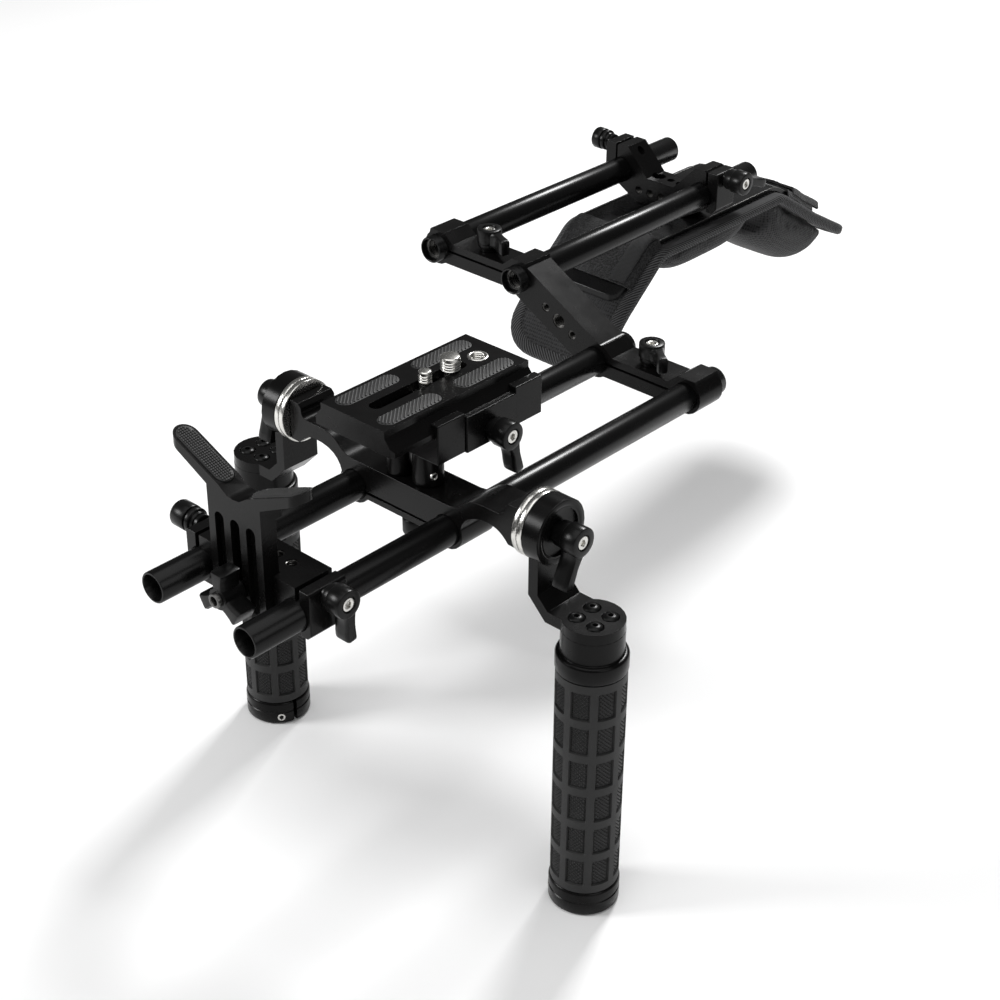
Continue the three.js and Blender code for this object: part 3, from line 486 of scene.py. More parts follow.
# ---- levers, bolts, nuts -------------------------------------------------------------
def wing_lever(length, blade, head=6.8):
    """Round head on a waisted boss, with one blade that thins behind the head and flares at its tip."""
    form = Form().add(*turned([
        (2.5, 0.05), (5.0, 0.05), (5.0, 1.2), (5.8, 1.5), (6.1, 2.0), (6.1, length - 8.4),
        (head - 0.2, length - 8), (head, length - 7.7), (head, length - 0.7), (head - 0.2, length - 0.2),
        (head - 0.6, length), (3.9, length), (3.6, length - 0.35), (3.5, length - 2.1), (2.5, length - 2.1),
    ], 56, closed=True))
    # Each row is the reach, thickness, width and lean of the blade.
    rows = [
        (2.8, 10.8, 8.2, 0.2), (5.0, 8.6, 8.5, 0.6), (7.2, 6.4, 8.7, 0.7), (9.6, 5.1, 8.8, 0.5),
        (12.6, 4.7, 8.8, 0.1), (blade - 4.2, 5.4, 8.9, -0.4), (blade - 1.6, 5.6, 8.9, -0.6),
        (blade - 0.5, 5.0, 8.5, -0.6), (blade, 3.6, 7.4, -0.6),
    ]
    stations = []
    for reach, thick, wide, lean in rows:
        centre = (lean, -reach, length - 5.2)
        stations.append((centre, (1, 0, 0), (0, 0, 1), rounded_ring(thick, wide, 7.0)))
    return form.add(*loft(stations))


def socket_screw(radius, top, depth=1.5, socket=1.6, shank=2.1, bottom=-8.0):
    """Socket-head screw along Z with a real hexagonal recess."""
    return turned([
        (0, bottom), (shank, bottom), (shank, top - 1.7), (radius, top - 1.7), (radius, top - 0.45),
        (radius - 0.15, top - 0.12), (radius - 0.5, top), (socket + 0.35, top),
        (socket, top - 0.3, hexagon), (socket, top - depth, hexagon), (0, top - depth - 0.5),
    ], 48)


def round_nut(length):
    """Turned end nut with a neck and two grooves."""
    return turned([
        (0, -6), (2.1, -6), (2.1, 0.3), (4.4, 0.3), (4.7, 0.6), (4.7, 1.9), (4.1, 2.3), (4.1, 2.7),
        (4.7, 3.1), (5.0, 4.2), (5.9, 4.6), (6.15, 5.0), (6.15, 6.8), (5.4, 7.2), (5.4, 7.8), (6.2, 8.1),
        (6.4, 8.5), (6.4, length - 1.0), (6.1, length - 0.4), (5.4, length), (0, length),
    ], 56)


def clamp_lever(name, swing, length, blade, axis, sense, spot, body, lever_node, head=6.8):
    """Cast lever, swung about its own axis. Returns its placing, for its screw."""
    matrix = placing(axis, sense, swing, spot)
    form = wing_lever(length, blade, head)
    moved = Form().add(form.points, form.faces, matrix)
    piece(name + "_wing", moved, CAST, body, [lever_node])
    return matrix


def lever_with_bolt(body, swing, length, blade, sense, spot, lever_node, bolt_node, head=6.8):
    matrix = clamp_lever(body, swing, length, blade, "x", sense, spot, body, lever_node, head)
    screw = Form().add(*socket_screw(3.25, length - 0.25), matrix)
    piece(body + "_screw", screw, STEEL, body, [bolt_node])


lever_with_bolt("lens_lever", SWING["lens"], 12.5, 20.5, 1, LENS_BOLT, "lens_clamp_lever",
                "lens_clamp_bolt")
lever_with_bolt("plate_lever", SWING["plate"], 12.8, 22, 1, PLATE_BOLT, "qr_lever", "qr_lever_bolt")
lever_with_bolt("rest_lever", SWING["rest"], 14, 22, 1, REST_BOLT, "rest_lever", "rest_lever_bolt")
for side, sense in SIDES:
    # A mirrored lever swings the other way about its own axis.
    name = "grip_lever_" + side
    spot = (sense * GRIP_KNOB[0], GRIP_KNOB[1], GRIP_KNOB[2])
    lever_with_bolt(name, sense * SWING["grip"], 15.1, 23.5, sense, spot, name, "grip_bolt_" + side, 7.2)

for name, kind, spot, sense, body in (
    ("offset_lever_upper", "upper", (-115, 174.5, 35.0), 1, "offset_lever_upper"),
    ("offset_lever_lower", "lower", (0, 174.5, 5.0), 1, "offset_lever_lower"),
    ("cradle_clamp_lever", "cradle", (0, 0, -5.5), -1, "cradle_lever"),
):
    matrix = clamp_lever(name, SWING[kind], 12.5, 19, "z", sense, spot, body, name)
    stud = Form().add(*socket_screw(3.3, 11.9, shank=2.45, bottom=-9), matrix)
    piece(name + "_stud", stud, STEEL, body)

for name, spot, length, body in (
    ("lens_clamp_end_nut", (-LENS_BOLT[0], LENS_BOLT[1], LENS_BOLT[2]), 17, "lens_jaw_left"),
    ("rest_end_nut", (-157.5, REST_BOLT[1], REST_BOLT[2]), 14, "rest_jaw_left"),
):
    nut = Form().add(*round_nut(length), placing("x", -1, 0, spot))
    piece(name + "_round", nut, CAST, body, [name])


# ---- star knob -----------------------------------------------------------------------
def star_knob():
    """Three-lobed knob with a turned steel hub."""
    matrix = placing("y", -1, 0, (0, -110.0, 2.4))
    form = Form().add(*turned([
        (0, -14), (2.2, -14), (2.2, -1), (5.0, -0.9), (5.4, -0.4), (5.4, 10.4), (5.0, 10.9), (0, 11.0),
    ], 48), matrix)
    # Each row is the reach, width and height of a lobe.
    rows = [
        (2.0, 6.6, 10.8), (6.5, 5.8, 10.9), (9.4, 6.5, 11.0),
        (11.6, 7.9, 11.1), (12.4, 7.7, 10.9), (12.6, 7.0, 10.2),
    ]
    stations = [((r, 0, 5.4), (0, 1, 0), (0, 0, 1), rounded_ring(w, h, 9.0, 32)) for r, w, h in rows]
    for angle in (90, 210, 330):
        spin = matrix @ Matrix.Rotation(math.radians(angle), 4, "Z")
        form.add(*loft(stations), spin)
    piece("star_knob_body", form, CAST, "star_knob", ["lens_star_knob"])
    hub = Form().add(*turned([
        (2.1, 10.6), (3.5, 10.6), (3.5, 12.6), (3.3, 12.9), (2.9, 13.0), (2.3, 12.9), (2.1, 12.6),
    ], 40, closed=True), matrix)
    piece("star_knob_hub", hub, DARK_STEEL, "star_knob")


star_knob()


# ---- rosettes ------------------------------------------------------------------------
def rosette_disc(name, sense, outward, body, cad_node):
    """Toothed disc: radial V teeth on the side that faces its partner."""
    teeth = 60

    def tooth(angle):
        phase = (angle * teeth / (2 * math.pi) + (0 if outward else 0.5)) % 1
        return 1.0, 0.3 * (1 - abs(2 * phase - 1)) - 0.3

    start = ROSETTE[0] - ROSETTE_THICK if outward else ROSETTE[0] + ROSETTE_THICK
    face = sense if outward else -sense
    crest = ROSETTE_THICK - 0.03
    disc = turned([
        (3.6, 0.02), (15.6, 0.02), (15.9, 0.2), (16.0, 0.5), (16.0, 2.3),
        (15.85, crest, tooth), (11.0, crest, tooth), (10.4, 1.6), (3.6, 1.6),
    ], teeth * 4, closed=True)
    form = Form().add(*disc, placing("x", face, 0, (sense * start, 0, ROSETTE[2])))
    piece(name, form, STEEL, body, [cad_node], angle=25)


for side, sense in SIDES:
    rosette_disc(f"rosette_inner_{side}", sense, True, "cradle", f"rosette_cradle_{side}")
    rosette_disc(f"rosette_outer_{side}", sense, False, f"grip_{side}", f"rosette_arm_{side}")


# ---- hand grips ----------------------------------------------------------------------
SLEEVE = {"low": -162.7, "high": -42.8, "radius": 16.4, "core": 12.6, "ring": 4.4, "rows": 6}


def pyramid(row, column):
    """Height, 0 to 1, of small pyramids laid in diagonal rows over a grid."""
    rising, falling = (row + column) / 4, (row - column) / 4
    return 1 - 2 * max(abs(rising - round(rising)), abs(falling - round(falling)))


def sleeve_form(x):
    """Rubber sleeve: proud ribs and rings around panels filled with small pyramids."""
    across, along = 16, 26
    columns = []
    for rib in range(8):
        columns += [(rib * 45 - 6.2, "rib"), (rib * 45, "rib"), (rib * 45 + 6.2, "rib")]
        columns += [(rib * 45 + 7.8 + 29.4 * i / across, i) for i in range(across + 1)]
    pitch = (SLEEVE["high"] - SLEEVE["low"] - SLEEVE["ring"]) / SLEEVE["rows"]
    rows = []
    for band in range(SLEEVE["rows"] + 1):
        base = SLEEVE["low"] + band * pitch
        rows += [(base, "ring"), (base + SLEEVE["ring"] / 2, "ring"), (base + SLEEVE["ring"], "ring")]
        if band < SLEEVE["rows"]:
            span = pitch - SLEEVE["ring"] - 1.0
            rows += [(base + SLEEVE["ring"] + 0.5 + span * i / along, i) for i in range(along + 1)]
    points = []
    for z, row in rows:
        for degrees, column in columns:
            radius = SLEEVE["radius"]
            if row != "ring" and column != "rib":
                rim = row in (0, along) or column in (0, across)
                radius -= 1.15 if rim else 1.15 - 0.8 * pyramid(row, column)
            points.append(polar(radius, math.radians(degrees), z, x))
    for z in (SLEEVE["high"], SLEEVE["low"]):
        points += [polar(SLEEVE["core"], math.radians(degrees), z, x) for degrees, _ in columns]
    return points, grid_faces(len(rows) + 2, len(columns), wrap_rows=True)


def grip(side, sense):
    """Hand grip: rubber sleeve, turned core, four cap screws and the locking ring."""
    x = sense * GRIP_X
    body = f"grip_{side}"
    stand = Matrix.Translation(ORIGIN)
    upright = placing("z", 1, 0, (x, 0, 0))
    sleeve = Form().add(*sleeve_form(x), stand)
    piece(f"sleeve_{side}", sleeve, GRIP_RUBBER, body, [f"grip_sleeve_{side}"], angle=30)
    core = Form().add(*turned([
        (0, -164), (12.1, -164), (12.1, -42.6), (15.9, -42.5), (16.6, -42.0), (16.8, -41.4), (16.8, -35.0),
        (16.5, -34.0), (15.9, -33.5), (14.9, -33.4), (14.63, -33.1), (14.63, -21.9), (0, -21.9),
    ], 72), upright)
    piece(f"grip_body_{side}", core, ANODISED, body, [f"grip_core_{side}"])
    screws = Form()
    reach, cap = 5.3, -17.5
    for u, v in ((-1, -1), (1, -1), (-1, 1), (1, 1)):
        spot = placing("z", 1, 0.3 * u + 0.2 * v, (x + reach * u, reach * v, 0))
        screws.add(*button_head(cap), spot)
    piece(f"grip_screws_{side}", screws, CAST, body)
    grip_ring(side, x, body, upright)


def button_head(base):
    """Domed screw head with a hexagonal recess, seated at the base's height."""
    dome = [(3.75 * math.cos(t), base + 0.5 + 1.6 * math.sin(t)) for t in np.linspace(0, 1.15, 7)]
    return turned([(0, base - 5), (1.9, base - 5), (1.9, base), (3.75, base)] + dome + [
        (1.45, base + 1.95, hexagon), (1.35, base + 0.5, hexagon), (0, base + 0.3)], 36)


def grip_ring(side, x, body, upright):
    """Split locking ring: a slit towards the middle of the rig, closed by a small bright screw."""
    mirrored = side == "right"
    slit = math.radians(190 if mirrored else -10)
    start, end = slit + math.radians(3.5), slit + math.radians(356.5)
    profile = [
        (12.6, -163.4), (16.3, -163.3), (16.9, -163.9), (17.0, -164.5), (17.0, -168.2), (16.6, -168.6),
        (16.6, -169.2), (17.0, -169.6), (17.0, -175.2), (16.6, -175.8), (16.0, -176.0), (12.6, -176.0),
    ]
    steps = 72
    points = []
    for step in range(steps + 1):
        angle = start + (end - start) * step / steps
        points += [polar(radius, angle, z) for radius, z in profile]
    ring = Form().add(points, capped_faces(steps + 1, len(profile)), upright)
    floor = turned([(0, -165.5), (12.5, -165.5), (12.5, -174.8), (12.1, -175.3), (0, -175.3)], 48)
    ring.add(*floor, upright)
    piece(f"locking_ring_{side}", ring, ANODISED, body, [f"grip_ring_{side}"])
    matrix = facing_out(x, 0, -172.0, 16.2, slit + math.radians(27 if mirrored else -27))
    screw = Form().add(*socket_screw(2.2, 1.0, depth=1.2, socket=1.2, shank=1.4, bottom=-5), matrix)
    piece(f"ring_screw_{side}", screw, STEEL, body)


def arm_hub(side, sense):
    """Dished face of the arm's boss: a flat rim, a rounded step and a floor round the lever's neck."""
    dish = turned([
        (5.4, -1.7), (10.9, -1.7), (11.7, -1.45), (12.1, -0.4), (12.6, 0.0), (13.2, 0.14), (14.9, 0.14),
        (15.5, -0.1), (15.7, -0.6), (13.0, -0.8), (11.8, -1.95), (5.4, -1.95),
    ], 72, closed=True)
    form = Form().add(*dish, placing("x", sense, 0, (sense * ARM_FACE, 0, ROSETTE[2])))
    piece(f"arm_hub_{side}", form, ANODISED, f"grip_{side}", angle=50)


for side, sense in SIDES:
    arm_hub(side, sense)
    grip(side, sense)
    carry_over(f"grip_arm_{side}", ANODISED, 0.6)


# ---- camera plate --------------------------------------------------------------------
def stadium_slab(length, radius, low, high, edge=0.35, count=16):
    """Flat pad with round ends along Y and a softened rim."""
    points = []
    for inset, z in ((0, low), (0, high - edge), (edge * 0.3, high - edge * 0.3), (edge, high)):
        for centre, first in ((length / 2 - radius, 0.0), (radius - length / 2, math.pi)):
            for step in range(count + 1):
                points.append(polar(radius - inset, first + math.pi * step / count, z, y=centre))
    return points, capped_faces(4, 2 * (count + 1))


def ribs_over(length, radius, direction, pitch, low, high):
    """Slanted ribs clipped to a stadium."""
    form = Form()
    heading = Vector((math.cos(direction), math.sin(direction)))
    normal = Vector((-heading.y, heading.x))
    reach = int((length / 2 + radius) / pitch)
    for index in range(-reach, reach + 1):
        inside = []
        for step in np.linspace(-length, length, 240):
            p = normal * index * pitch + heading * step
            beyond = max(0.0, abs(p.y) - (length / 2 - radius))
            if math.hypot(p.x, beyond) < radius - 0.45:
                inside.append(step)
        if len(inside) < 4:
            continue
        a = normal * index * pitch + heading * inside[0]
        b = normal * index * pitch + heading * inside[-1]
        half = [(0.42, low), (0.36, high - 0.12), (0.16, high)]
        ring = [(-0.42, low)] + half + [(-0.16, high), (-0.36, high - 0.12)]
        form.add(*loft([((p.x, p.y, 0), (normal.x, normal.y, 0), (0, 0, 1), ring) for p in (a, b)]))
    return form


def plate_pads():
    """Four ribbed rubber pads, let into the plate's top."""
    ribs = ribs_over(36.4, 4.7, math.radians(-49.5), 1.55, PLATE_FACE, PLATE_FACE + 0.55)
    spots = [(-13.3, -16.5), (13.3, -16.5), (-13.3, 31.5), (13.3, 31.5)]
    for number, (x, y) in enumerate(spots, 1):
        matrix = placing("z", 1, 0, (x, y, 0))
        form = Form().add(*stadium_slab(36.8, 4.8, PLATE_FACE - 0.7, PLATE_FACE + 0.15), matrix)
        form.add(ribs.points, ribs.faces, matrix)
        piece(f"plate_pad_{number}", form, RIBBED_RUBBER, "camera_plate",
              [f"qr_pad_{number}"])


def camera_screw(name, radius, height, y, body, cad_node):
    """Camera screw: a head in the slot and a threaded end that stands a height above the plate."""
    top = PLATE_FACE + height
    profile = [(0, 49.8), (5.9, 49.8), (5.9, 54.0), (3.0, 54.0), (3.0, 58.4), (radius - 0.6, 58.5)]
    profile += thread_profile(radius, 59.0, top - 0.8, 1.27, -0.42)
    profile += [(radius - 0.1, top - 0.5), (radius - 0.5, top - 0.12), (radius - 0.9, top), (0, top)]
    form = Form().add(*turned(profile, 48), placing("z", 1, 0, (0, y, 0)))
    piece(name, form, STEEL, body, [cad_node])


def camera_bush():
    """Threaded steel bush at the rear of the plate."""
    profile = [(3.3, 47), (5.0, 47), (5.0, 57.6), (5.15, 58.35), (4.9, 58.6), (4.2, 58.7), (3.7, 58.6)]
    profile += thread_profile(3.3, 58.2, 47.5, 1.2, 0.45)
    form = Form().add(*turned(profile, 48, closed=True), placing("z", 1, 0, (0, 42, 0)))
    piece("camera_bush_ring", form, STEEL, "camera_plate", ["camera_bush"])


plate_pads()
camera_screw("screw_quarter_inch", 3.18, 5.8, 7, "screw_small", "camera_screw_small")
camera_screw("screw_three_eighths", 4.76, 7.2, 23.5, "screw_large", "camera_screw_large")
camera_bush()
for name, edge in (("qr_plate", 0.45), ("qr_base", 0.5), ("qr_jaw", 0.5), ("cradle", 0.6)):
    carry_over(name, ANODISED, edge)


def set_screw():
    """Small bright screw that locks the right-hand riser post."""
    matrix = facing_out(9, -1, 19.6, 7.3, math.radians(-25))
    form = Form().add(*socket_screw(1.9, 0.9, depth=1.0, socket=1.0, shank=1.4, bottom=-3), matrix)
    piece("riser_set_screw", form, STEEL, "cradle")


set_screw()


# ---- lens support --------------------------------------------------------------------
for name in ("lens_clamp_block", "lens_clamp_jaw_right", "lens_clamp_jaw_left", "lens_yoke"):
    carry_over(name, ANODISED, 0.5)


def yoke_pad(side, sense):
    """Rubber strip on one arm of the V, covered with small square studs."""
    slope = math.atan(0.44)
    start, end, radius = 13.5, 41 / math.cos(slope) - 6, 4.6
    middle, length = (start + end) / 2, end - start + 2 * radius
    middle_of_v = at(0, -102.55, 46.5)
    matrix = Matrix.Translation(middle_of_v) @ Matrix.Rotation(-sense * slope, 4, "Y")
    matrix = matrix @ Matrix.Translation((sense * middle * MM, 0, 0)) @ Matrix.Rotation(math.pi / 2, 4, "Z")
    form = Form().add(*stadium_slab(length, radius, -0.7, 0.45), matrix)
    pitch = 1.25
    for i in range(-4, 5):
        for j in range(-18, 19):
            x, y = i * pitch, j * pitch
            beyond = max(0.0, abs(y) - (length / 2 - radius))
            if math.hypot(x, beyond) > radius - 0.75:
                continue
            stud = []
            for z, half in ((0.4, 0.5), (0.8, 0.34)):
                square = [(-half, -half), (half, -half), (half, half), (-half, half)]
                stud.append(((x, y, z), (1, 0, 0), (0, 1, 0), square))
            form.add(*loft(stud), matrix)
    piece(f"yoke_pad_{side}", form, RIBBED_RUBBER, "lens_yoke",
          [f"lens_yoke_pad_{side}"])


yoke_pad("right", 1)
yoke_pad("left", -1)


def threaded_holes(name, holes, body, axis="z"):
    """Thread turns that line tapped holes. A hole is (x, y, z of its mouth, radius, depth, sense)."""
    form = Form()
    for x, y, z, radius, depth, sense in holes:
        profile = thread_profile(radius - 0.6, -0.6, -depth, 1.15, 0.5)
        profile += [(radius + 0.05, -depth), (radius + 0.05, -0.4)]
        form.add(*turned(profile, 32, closed=True), placing(axis, sense, 0, (x, y, z)))
    piece(name, form, CUT_THREAD, body)


threaded_holes("lens_block_threads", [(5.6, -90.25, 14, 2.9, 9, 1), (15.4, -91.25, 14, 2.9, 9, 1)],
               "lens_clamp")


# ---- offset bracket and shoulder bracket ---------------------------------------------
def sloping(share, radius, depth):
    """Tapped hole at a share of the way down the bracket's sloping arm."""
    return (UPPER_INNER + 55 * share, 165, UPPER_Z - 30 * share, radius, depth, -1)


carry_over("offset_bracket", ANODISED, 0.6)
threaded_holes("rod_threads", [(x, 162.2, UPPER_Z, 5.7, 14, -1) for x in (UPPER_INNER, UPPER_OUTER)],
               "offset_arm", "y")
threaded_holes("offset_threads", [sloping(0.36, 2.6, 10), sloping(0.53, 4.2, 14), sloping(0.7, 2.6, 10)],
               "offset_arm", "y")
for name in ("rest_bracket", "rest_jaw_right", "rest_jaw_left"):
    carry_over(name, ANODISED, 0.5)
threaded_holes("rest_face_threads", [(REST_X + u, 325, 20.4, 2.5, 9, -1) for u in (-16, -7.5, 1, 9.5)],
               "shoulder_rest", "y")
carry_over("rest_plate", SATIN, 0.5)


# ---- shoulder pad --------------------------------------------------------------------
REST_LINE = [(222.5, -50.5), (252, -20), (284, 7.2), (404, 7.2), (442, -17), (490, -44)]
MAT_HALF = 35.5
MAT_CORNER = 20.0
MAT_MIDDLE = -1.45
CUSHION_WIDTH = 61.0


def smooth_line(points, radius, steps=10):
    """(y, z) polyline with each corner eased by a curve."""
    path = [Vector(points[0])]
    for before, corner, after in zip(points, points[1:], points[2:]):
        b, c, a = Vector(before), Vector(corner), Vector(after)
        toward, away = (b - c).normalized(), (a - c).normalized()
        reach = radius / math.tan(toward.angle(away) / 2)
        start, end = c + toward * reach, c + away * reach
        for step in range(steps + 1):
            t = step / steps
            path.append(start * (1 - t) ** 2 + c * 2 * t * (1 - t) + end * t ** 2)
    path.append(Vector(points[-1]))
    return path


class ShoulderLine:
    """Arc-length walk along the rest's centre line, with its upward normal."""

    def __init__(self, points, radius):
        self.path = smooth_line(points, radius)
        self.lengths = [0.0]
        for a, b in zip(self.path, self.path[1:]):
            self.lengths.append(self.lengths[-1] + (b - a).length)
        self.total = self.lengths[-1]

    def frame(self, s):
        s = min(max(s, 0.0), self.total)
        index = max(i for i, value in enumerate(self.lengths[:-1]) if value <= s)
        a, b = self.path[index], self.path[index + 1]
        heading = (b - a).normalized()
        point = a + (b - a) * ((s - self.lengths[index]) / max((b - a).length, 1e-6))
        return point, Vector((-heading.y, heading.x))

    def point(self, s, x, lift):
        place, normal = self.frame(s)
        place = place + normal * lift
        return at(REST_X + x, place.x, place.y)


LINE = ShoulderLine(REST_LINE, 16)


def mat_half_width(s):
    """Half width of the mat at a station: full, with rounded corners at both ends."""
    end = min(s, LINE.total - s)
    if end >= MAT_CORNER:
        return MAT_HALF
    inside = MAT_CORNER ** 2 - (MAT_CORNER - end) ** 2
    return MAT_HALF - MAT_CORNER + math.sqrt(max(inside, 0.0))


def mat_form():
    """Soft mat: quilted slightly, thinner at the rim, following the shoulder line."""
    rows, columns = 110, 28
    upper, lower, uv = [], [], []
    for row in range(rows + 1):
        s = 0.6 + (LINE.total - 1.2) * row / rows
        half = mat_half_width(s) - 0.6
        for column in range(columns + 1):
            v = -1 + 2 * column / columns
            rim = 1 - abs(v) ** 6
            middle = MAT_MIDDLE + 0.25 * math.sin(s * 0.21) * math.cos(v * 4.0) * rim
            thick = 1.2 + 1.35 * rim
            upper.append(LINE.point(s, v * half, middle + thick))
            lower.append(LINE.point(s, v * half, middle - thick))
            uv.append((s * MM, v * half * MM))
    return closed_sheet(upper, lower, rows, columns, uv)


def rim_walk(step, inset):
    """Stations (s, x) round the mat's outline, an inset from its edge."""
    side = MAT_HALF - inset - MAT_CORNER
    near, far = inset + MAT_CORNER, LINE.total - inset - MAT_CORNER
    walk = []
    for corner, (x, s) in enumerate(((side, near), (side, far), (-side, far), (-side, near))):
        for part in range(9):
            angle = math.pi / 2 * (corner - 1 + part / 8)
            walk.append((s + MAT_CORNER * math.sin(angle), x + MAT_CORNER * math.cos(angle)))
    dense = []
    for (s0, x0), (s1, x1) in zip(walk, walk[1:] + walk[:1]):
        count = max(1, int(math.hypot(s1 - s0, x1 - x0) / step))
        dense += [(s0 + (s1 - s0) * i / count, x0 + (x1 - x0) * i / count) for i in range(count)]
    return dense


def binding(walk, lift, width, height, power, wobble):
    """Woven band of rounded section round the mat's rim."""
    draw = random.Random(7)
    count = 16
    points, uv = [], []
    travelled = 0.0
    previous = None
    for index, (s, x) in enumerate(walk):
        s_next, x_next = walk[(index + 1) % len(walk)]
        s_back, x_back = walk[index - 1]
        ahead = (LINE.point(s_next, x_next, lift) - LINE.point(s_back, x_back, lift)).normalized()
        centre = LINE.point(s, x, lift)
        _, normal = LINE.frame(s)
        up = Vector((0, normal.x, normal.y))
        side = ahead.cross(up).normalized()
        if previous is not None:
            travelled += (centre - previous).length
        previous = centre
        puff = 1 + wobble * draw.uniform(-1, 1)
        for step, (u, v) in enumerate(rounded_ring(width, height, power, count)):
            points.append(centre + side * u * MM * puff + up * v * MM * puff)
            uv.append((travelled, step / count * (width + height) * 2 * MM))
    form = Form().add(points, grid_faces(len(walk), count, wrap_rows=True), None, uv)
    piece("mat_binding", form, TWILL, "shoulder_rest", angle=60)


def stitch_row(walk, lift, name):
    """Separate thread stitches laid along a line of the mat."""
    form = Form()
    rings, around = 5, 6
    for (s0, x0), (s1, x1) in zip(walk[::2], walk[1::2]):
        a, b = LINE.point(s0, x0, lift), LINE.point(s1, x1, lift)
        if (b - a).length < 1e-5:
            continue
        heading = (b - a).normalized()
        _, normal = LINE.frame(s0)
        up = Vector((0, normal.x, normal.y))
        side = heading.cross(up)
        points = []
        for i in range(rings):
            t = i / (rings - 1)
            full = math.sin(math.pi * (0.12 + 0.76 * t)) * MM
            for k in range(around):
                angle = 2 * math.pi * k / around
                offset = side * math.cos(angle) * 0.38 + up * (math.sin(angle) * 0.32 + 0.15)
                points.append(a + (b - a) * t + offset * full)
        form.add(points, capped_faces(rings, around))
    piece(name, form, THREAD, "shoulder_rest")


def shoulder_mat():
    mat = piece("shoulder_mat", mat_form(), MESH_FLAT, "shoulder_rest", ["rest_mat"],
                angle=60)
    binding(rim_walk(2.0, 3.0), MAT_MIDDLE, 8.4, 6.5, 4.0, 0.012)
    stitch_row(rim_walk(1.6, 6.2), 1.75, "mat_stitches_top")
    stitch_row(rim_walk(1.6, 6.2), -4.6, "mat_stitches_under")


shoulder_mat()


def swell(obj, limit, pressure=4.0, frames=20):
    """Inflates a closed mesh as stuffed fabric, keeps each point near its start, and keeps the result."""
    start = np.array([v.co for v in obj.data.vertices])
    cloth = obj.modifiers.new("cloth", "CLOTH")
    fabric = cloth.settings
    fabric.use_pressure = True
    fabric.uniform_pressure_force = pressure
    fabric.quality = 5
    fabric.mass = 0.3
    fabric.tension_stiffness = 15
    fabric.compression_stiffness = 15
    fabric.bending_stiffness = 0.6
    fabric.effector_weights.gravity = 0
    cloth.collision_settings.use_collision = False
    cloth.point_cache.frame_start = 1
    cloth.point_cache.frame_end = frames
    scene = bpy.context.scene
    for step in range(1, frames + 1):
        scene.frame_set(step)
    evaluated = obj.evaluated_get(bpy.context.evaluated_depsgraph_get())
    moved = np.array([v.co for v in evaluated.data.vertices])
    obj.modifiers.remove(cloth)
    scene.frame_set(1)
    shift = moved - start
    length = np.linalg.norm(shift, axis=1, keepdims=True)
    shift *= np.minimum(1.0, limit * MM / np.maximum(length, 1e-9))
    obj.data.vertices.foreach_set("co", (start + shift).astype(np.float32).ravel())
    obj.data.update()


def cushion_form(stations, depth, crown):
    """Pillow under the mat; a smaller crown rounds it off further from its two ends."""
    first, last = stations
    rows, columns = 34, 26
    upper, lower = [], []
    for row in range(rows + 1):
        u = -1 + 2 * row / rows
        s = first + (last - first) * row / rows
        for column in range(columns + 1):
            v = -1 + 2 * column / columns
            x = v * CUSHION_WIDTH / 2 * (1 - 0.10 * u ** 4)
            pillow = (max(0.0, 1 - abs(u) ** crown) ** 0.55) * (max(0.0, 1 - abs(v) ** 5) ** 0.45)
            upper.append(LINE.point(s, x, -4.9 - 1.2 * (1 - pillow)))
            lower.append(LINE.point(s, x, -5.5 - 1.6 * (1 - pillow) - depth * pillow))
    return closed_sheet(upper, lower, rows, columns)


def stuff(obj):
    """Turns the plain pillow into an even mesh, swells it as cloth and smooths it."""
    remesh = obj.modifiers.new("remesh", "REMESH")
    remesh.mode = "VOXEL"
    remesh.voxel_size = 2.6 * MM
    evaluated = obj.evaluated_get(bpy.context.evaluated_depsgraph_get())
    mesh = bpy.data.meshes.new_from_object(evaluated)
    obj.modifiers.clear()
    obj.data = mesh
    swell(obj, 2.4)
    shade_smooth(obj.data)
    smooth = obj.modifiers.new("rounded", "SUBSURF")
    smooth.levels = 1
    smooth.render_levels = 1
    if not obj.data.materials:
        obj.data.materials.append(MESH)


def cushion(name, stations, depth, crown):
    """Stuffed cushion hanging under the mat between two stations of the shoulder line."""
    obj = make_object(name, cushion_form(stations, depth, crown), MESH, 80)
    stuff(obj)
    finish_piece(obj, "shoulder_rest", ["rest_" + name])


cushion("cushion_front", (92, 182), 18.0, 4.0)
cushion("cushion_rear", (196, 280), 28.0, 2.8)


# ---- hook-and-loop straps ------------------------------------------------------------
def strap(name, first, last, replaced=(), lift=5.3, half=31.6):
    """Strap over the rigid plate: a pile-covered band, turned down at both sides and frayed at its ends."""
    draw = random.Random(len(name))
    rows, columns = 30, 44
    outer, inner = [], []
    for row in range(rows + 1):
        level = first + (last - first) * row / rows
        s = level + (0.5 * draw.uniform(-1, 1) if row in (0, rows) else 0.0)
        for column in range(columns + 1):
            v = -1 + 2 * column / columns
            fold = max(0.0, abs(v) - 0.93) / 0.07
            drop = 4.2 * fold ** 1.6
            ripple = 0.22 * math.sin(v * 9 + level * 0.3) + 0.12 * draw.uniform(-1, 1)
            x = half * v + math.copysign(0.44 * fold ** 2, v)
            outer.append(LINE.point(s, x, lift + 1.4 - drop + ripple))
            inner.append(LINE.point(s, x - math.copysign(0.9 * fold, v), lift - drop * 0.9 + ripple * 0.3))
    form = closed_sheet(outer, inner, rows, columns)
    piece(name, form, PILE, "shoulder_rest", replaced, angle=60)


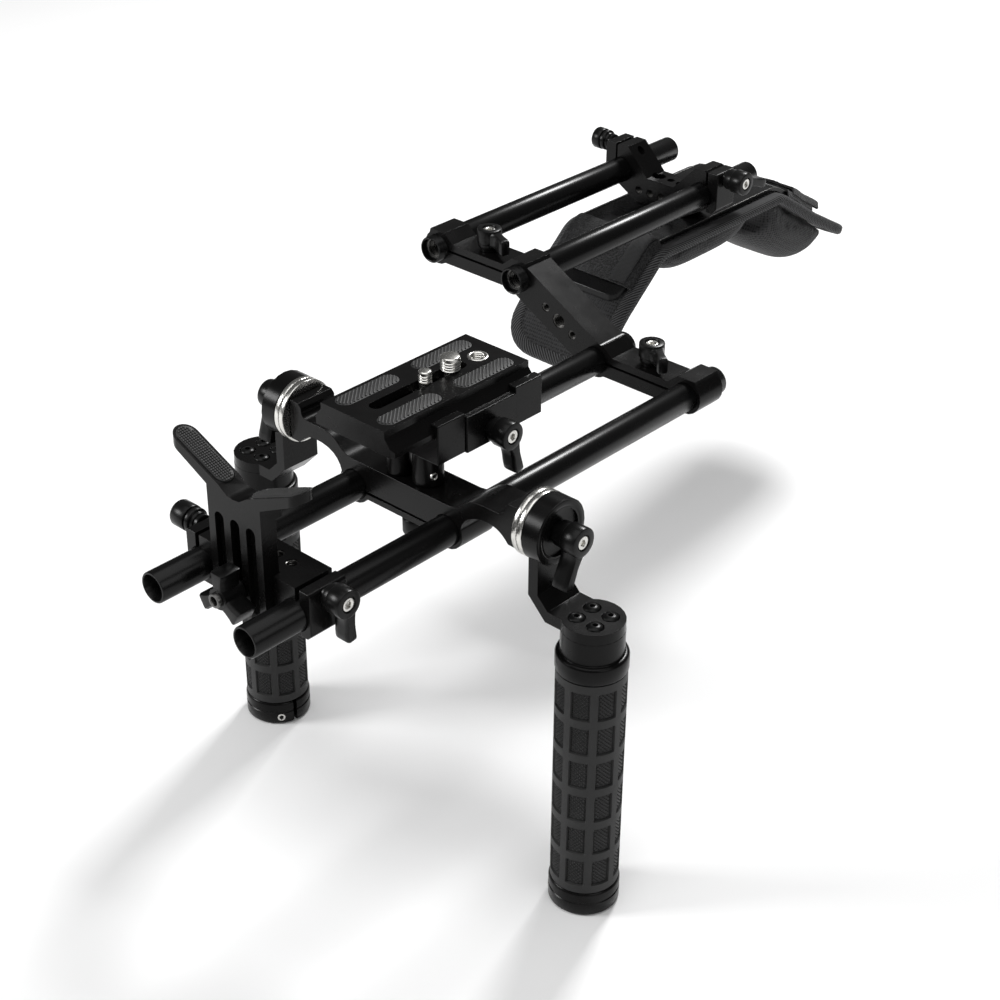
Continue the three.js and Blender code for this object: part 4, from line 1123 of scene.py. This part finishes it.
def flat_band(name, stations, sides, lift, thick, material):
    """Thin band lying along the rest, between two stations and two distances from its middle."""
    rings = 41
    ring = rounded_ring(sides[1] - sides[0], thick, 5.0, 20)
    middle = (sides[0] + sides[1]) / 2
    points, uv = [], []
    for s in np.linspace(*stations, rings):
        for u, v in ring:
            points.append(LINE.point(s, middle + u, lift + v))
            uv.append((s * MM, u * MM))
    form = Form().add(points, capped_faces(rings, len(ring)), None, uv)
    piece(name, form, material, "shoulder_rest", angle=50)


strap("strap_front", 56, 88, ["rest_strap_front"])
strap("strap_rear", 216, 250, ["rest_strap_rear"])
strap("strap_rear_loop", 222, 258, lift=8.4, half=30.4)
flat_band("strap_tail", (57, 87), (17.5, 28.5), 7.3, 1.1, TAPE)
plate_low, plate_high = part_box("rest_plate")
PLATE_TOP = 4.8
PLATE_HALF = (plate_high.x - plate_low.x) / 2 / MM
# Thin steel bands stand for the bright line of light along each edge of the rigid plate.
for side, sense in SIDES:
    edge = sorted((sense * (PLATE_HALF - 0.75), sense * (PLATE_HALF + 0.12)))
    flat_band("plate_edge_" + side, (56, 228), edge, PLATE_TOP - 0.05, 0.5, DARK_STEEL)


# ---- studio --------------------------------------------------------------------------
# Lamps as (name, place in metres, size in metres, power in watts), each turned towards AIM.
AIM = Vector((0, 0, 0.12))
LAMPS = (
    ("back", (-0.50, 1.40, 1.62), 0.42, 34),
    ("key", (-1.25, -1.5, 1.05), 0.6, 24),
    ("top", (0.2, -0.7, 2.4), 2.6, 32),
    ("fill", (2.0, -0.5, 1.2), 1.2, 7),
)


def floor():
    """Pale painted floor just under the grips."""
    bpy.ops.mesh.primitive_plane_add(size=30, location=(0, 0, -0.0005))
    obj = bpy.context.object
    obj.name = "studio_floor"
    material, tree, shader = new_material("floor_paint", grey(0.93), 0.7)
    drive(tree, shader, "Base Color", noise(tree, coordinates(tree), 3, 2), [(0.3, 0.92), (0.7, 0.94)])
    obj.data.materials.append(material)


def lamp(name, spot, size, power):
    light = bpy.data.lights.new(name, "AREA")
    light.shape = "RECTANGLE"
    light.size = size
    light.size_y = size
    light.energy = power
    obj = add_object(name, light)
    obj.location = spot
    obj.rotation_euler = (AIM - Vector(spot)).to_track_quat("-Z", "Y").to_euler()


def surroundings():
    """Dim white surroundings, so that the lamps give the shape."""
    world = bpy.data.worlds.new("studio")
    world.use_nodes = True
    background = world.node_tree.nodes["Background"]
    background.inputs["Color"].default_value = (1, 1, 1, 1)
    background.inputs["Strength"].default_value = 0.10
    bpy.context.scene.world = world
    bpy.context.scene.view_settings.view_transform = "Standard"


def camera():
    """Viewpoint to the right of the lens end and above it, looking back along the rods."""
    eye = at(554.0, -552.4, 470.2)
    azimuth, elevation, roll = math.radians(42.225), math.radians(31.09), math.radians(0.42)
    level = math.cos(elevation)
    back = Vector((math.sin(azimuth) * level, -math.cos(azimuth) * level, math.sin(elevation)))
    right = (-back).cross(Vector((0, 0, 1))).normalized()
    up = right.cross(-back)
    turned_right = right * math.cos(roll) + up * math.sin(roll)
    turned_up = up * math.cos(roll) - right * math.sin(roll)
    data = bpy.data.cameras.new("camera")
    data.sensor_width = 36
    data.lens = 70.43
    data.clip_start = 0.01
    obj = add_object("camera", data)
    basis = Matrix((turned_right, turned_up, back)).transposed().to_4x4()
    obj.matrix_world = Matrix.Translation(eye) @ basis
    bpy.context.scene.camera = obj


floor()
surroundings()
for name, spot, size, power in LAMPS:
    lamp(name, spot, size, power)
camera()
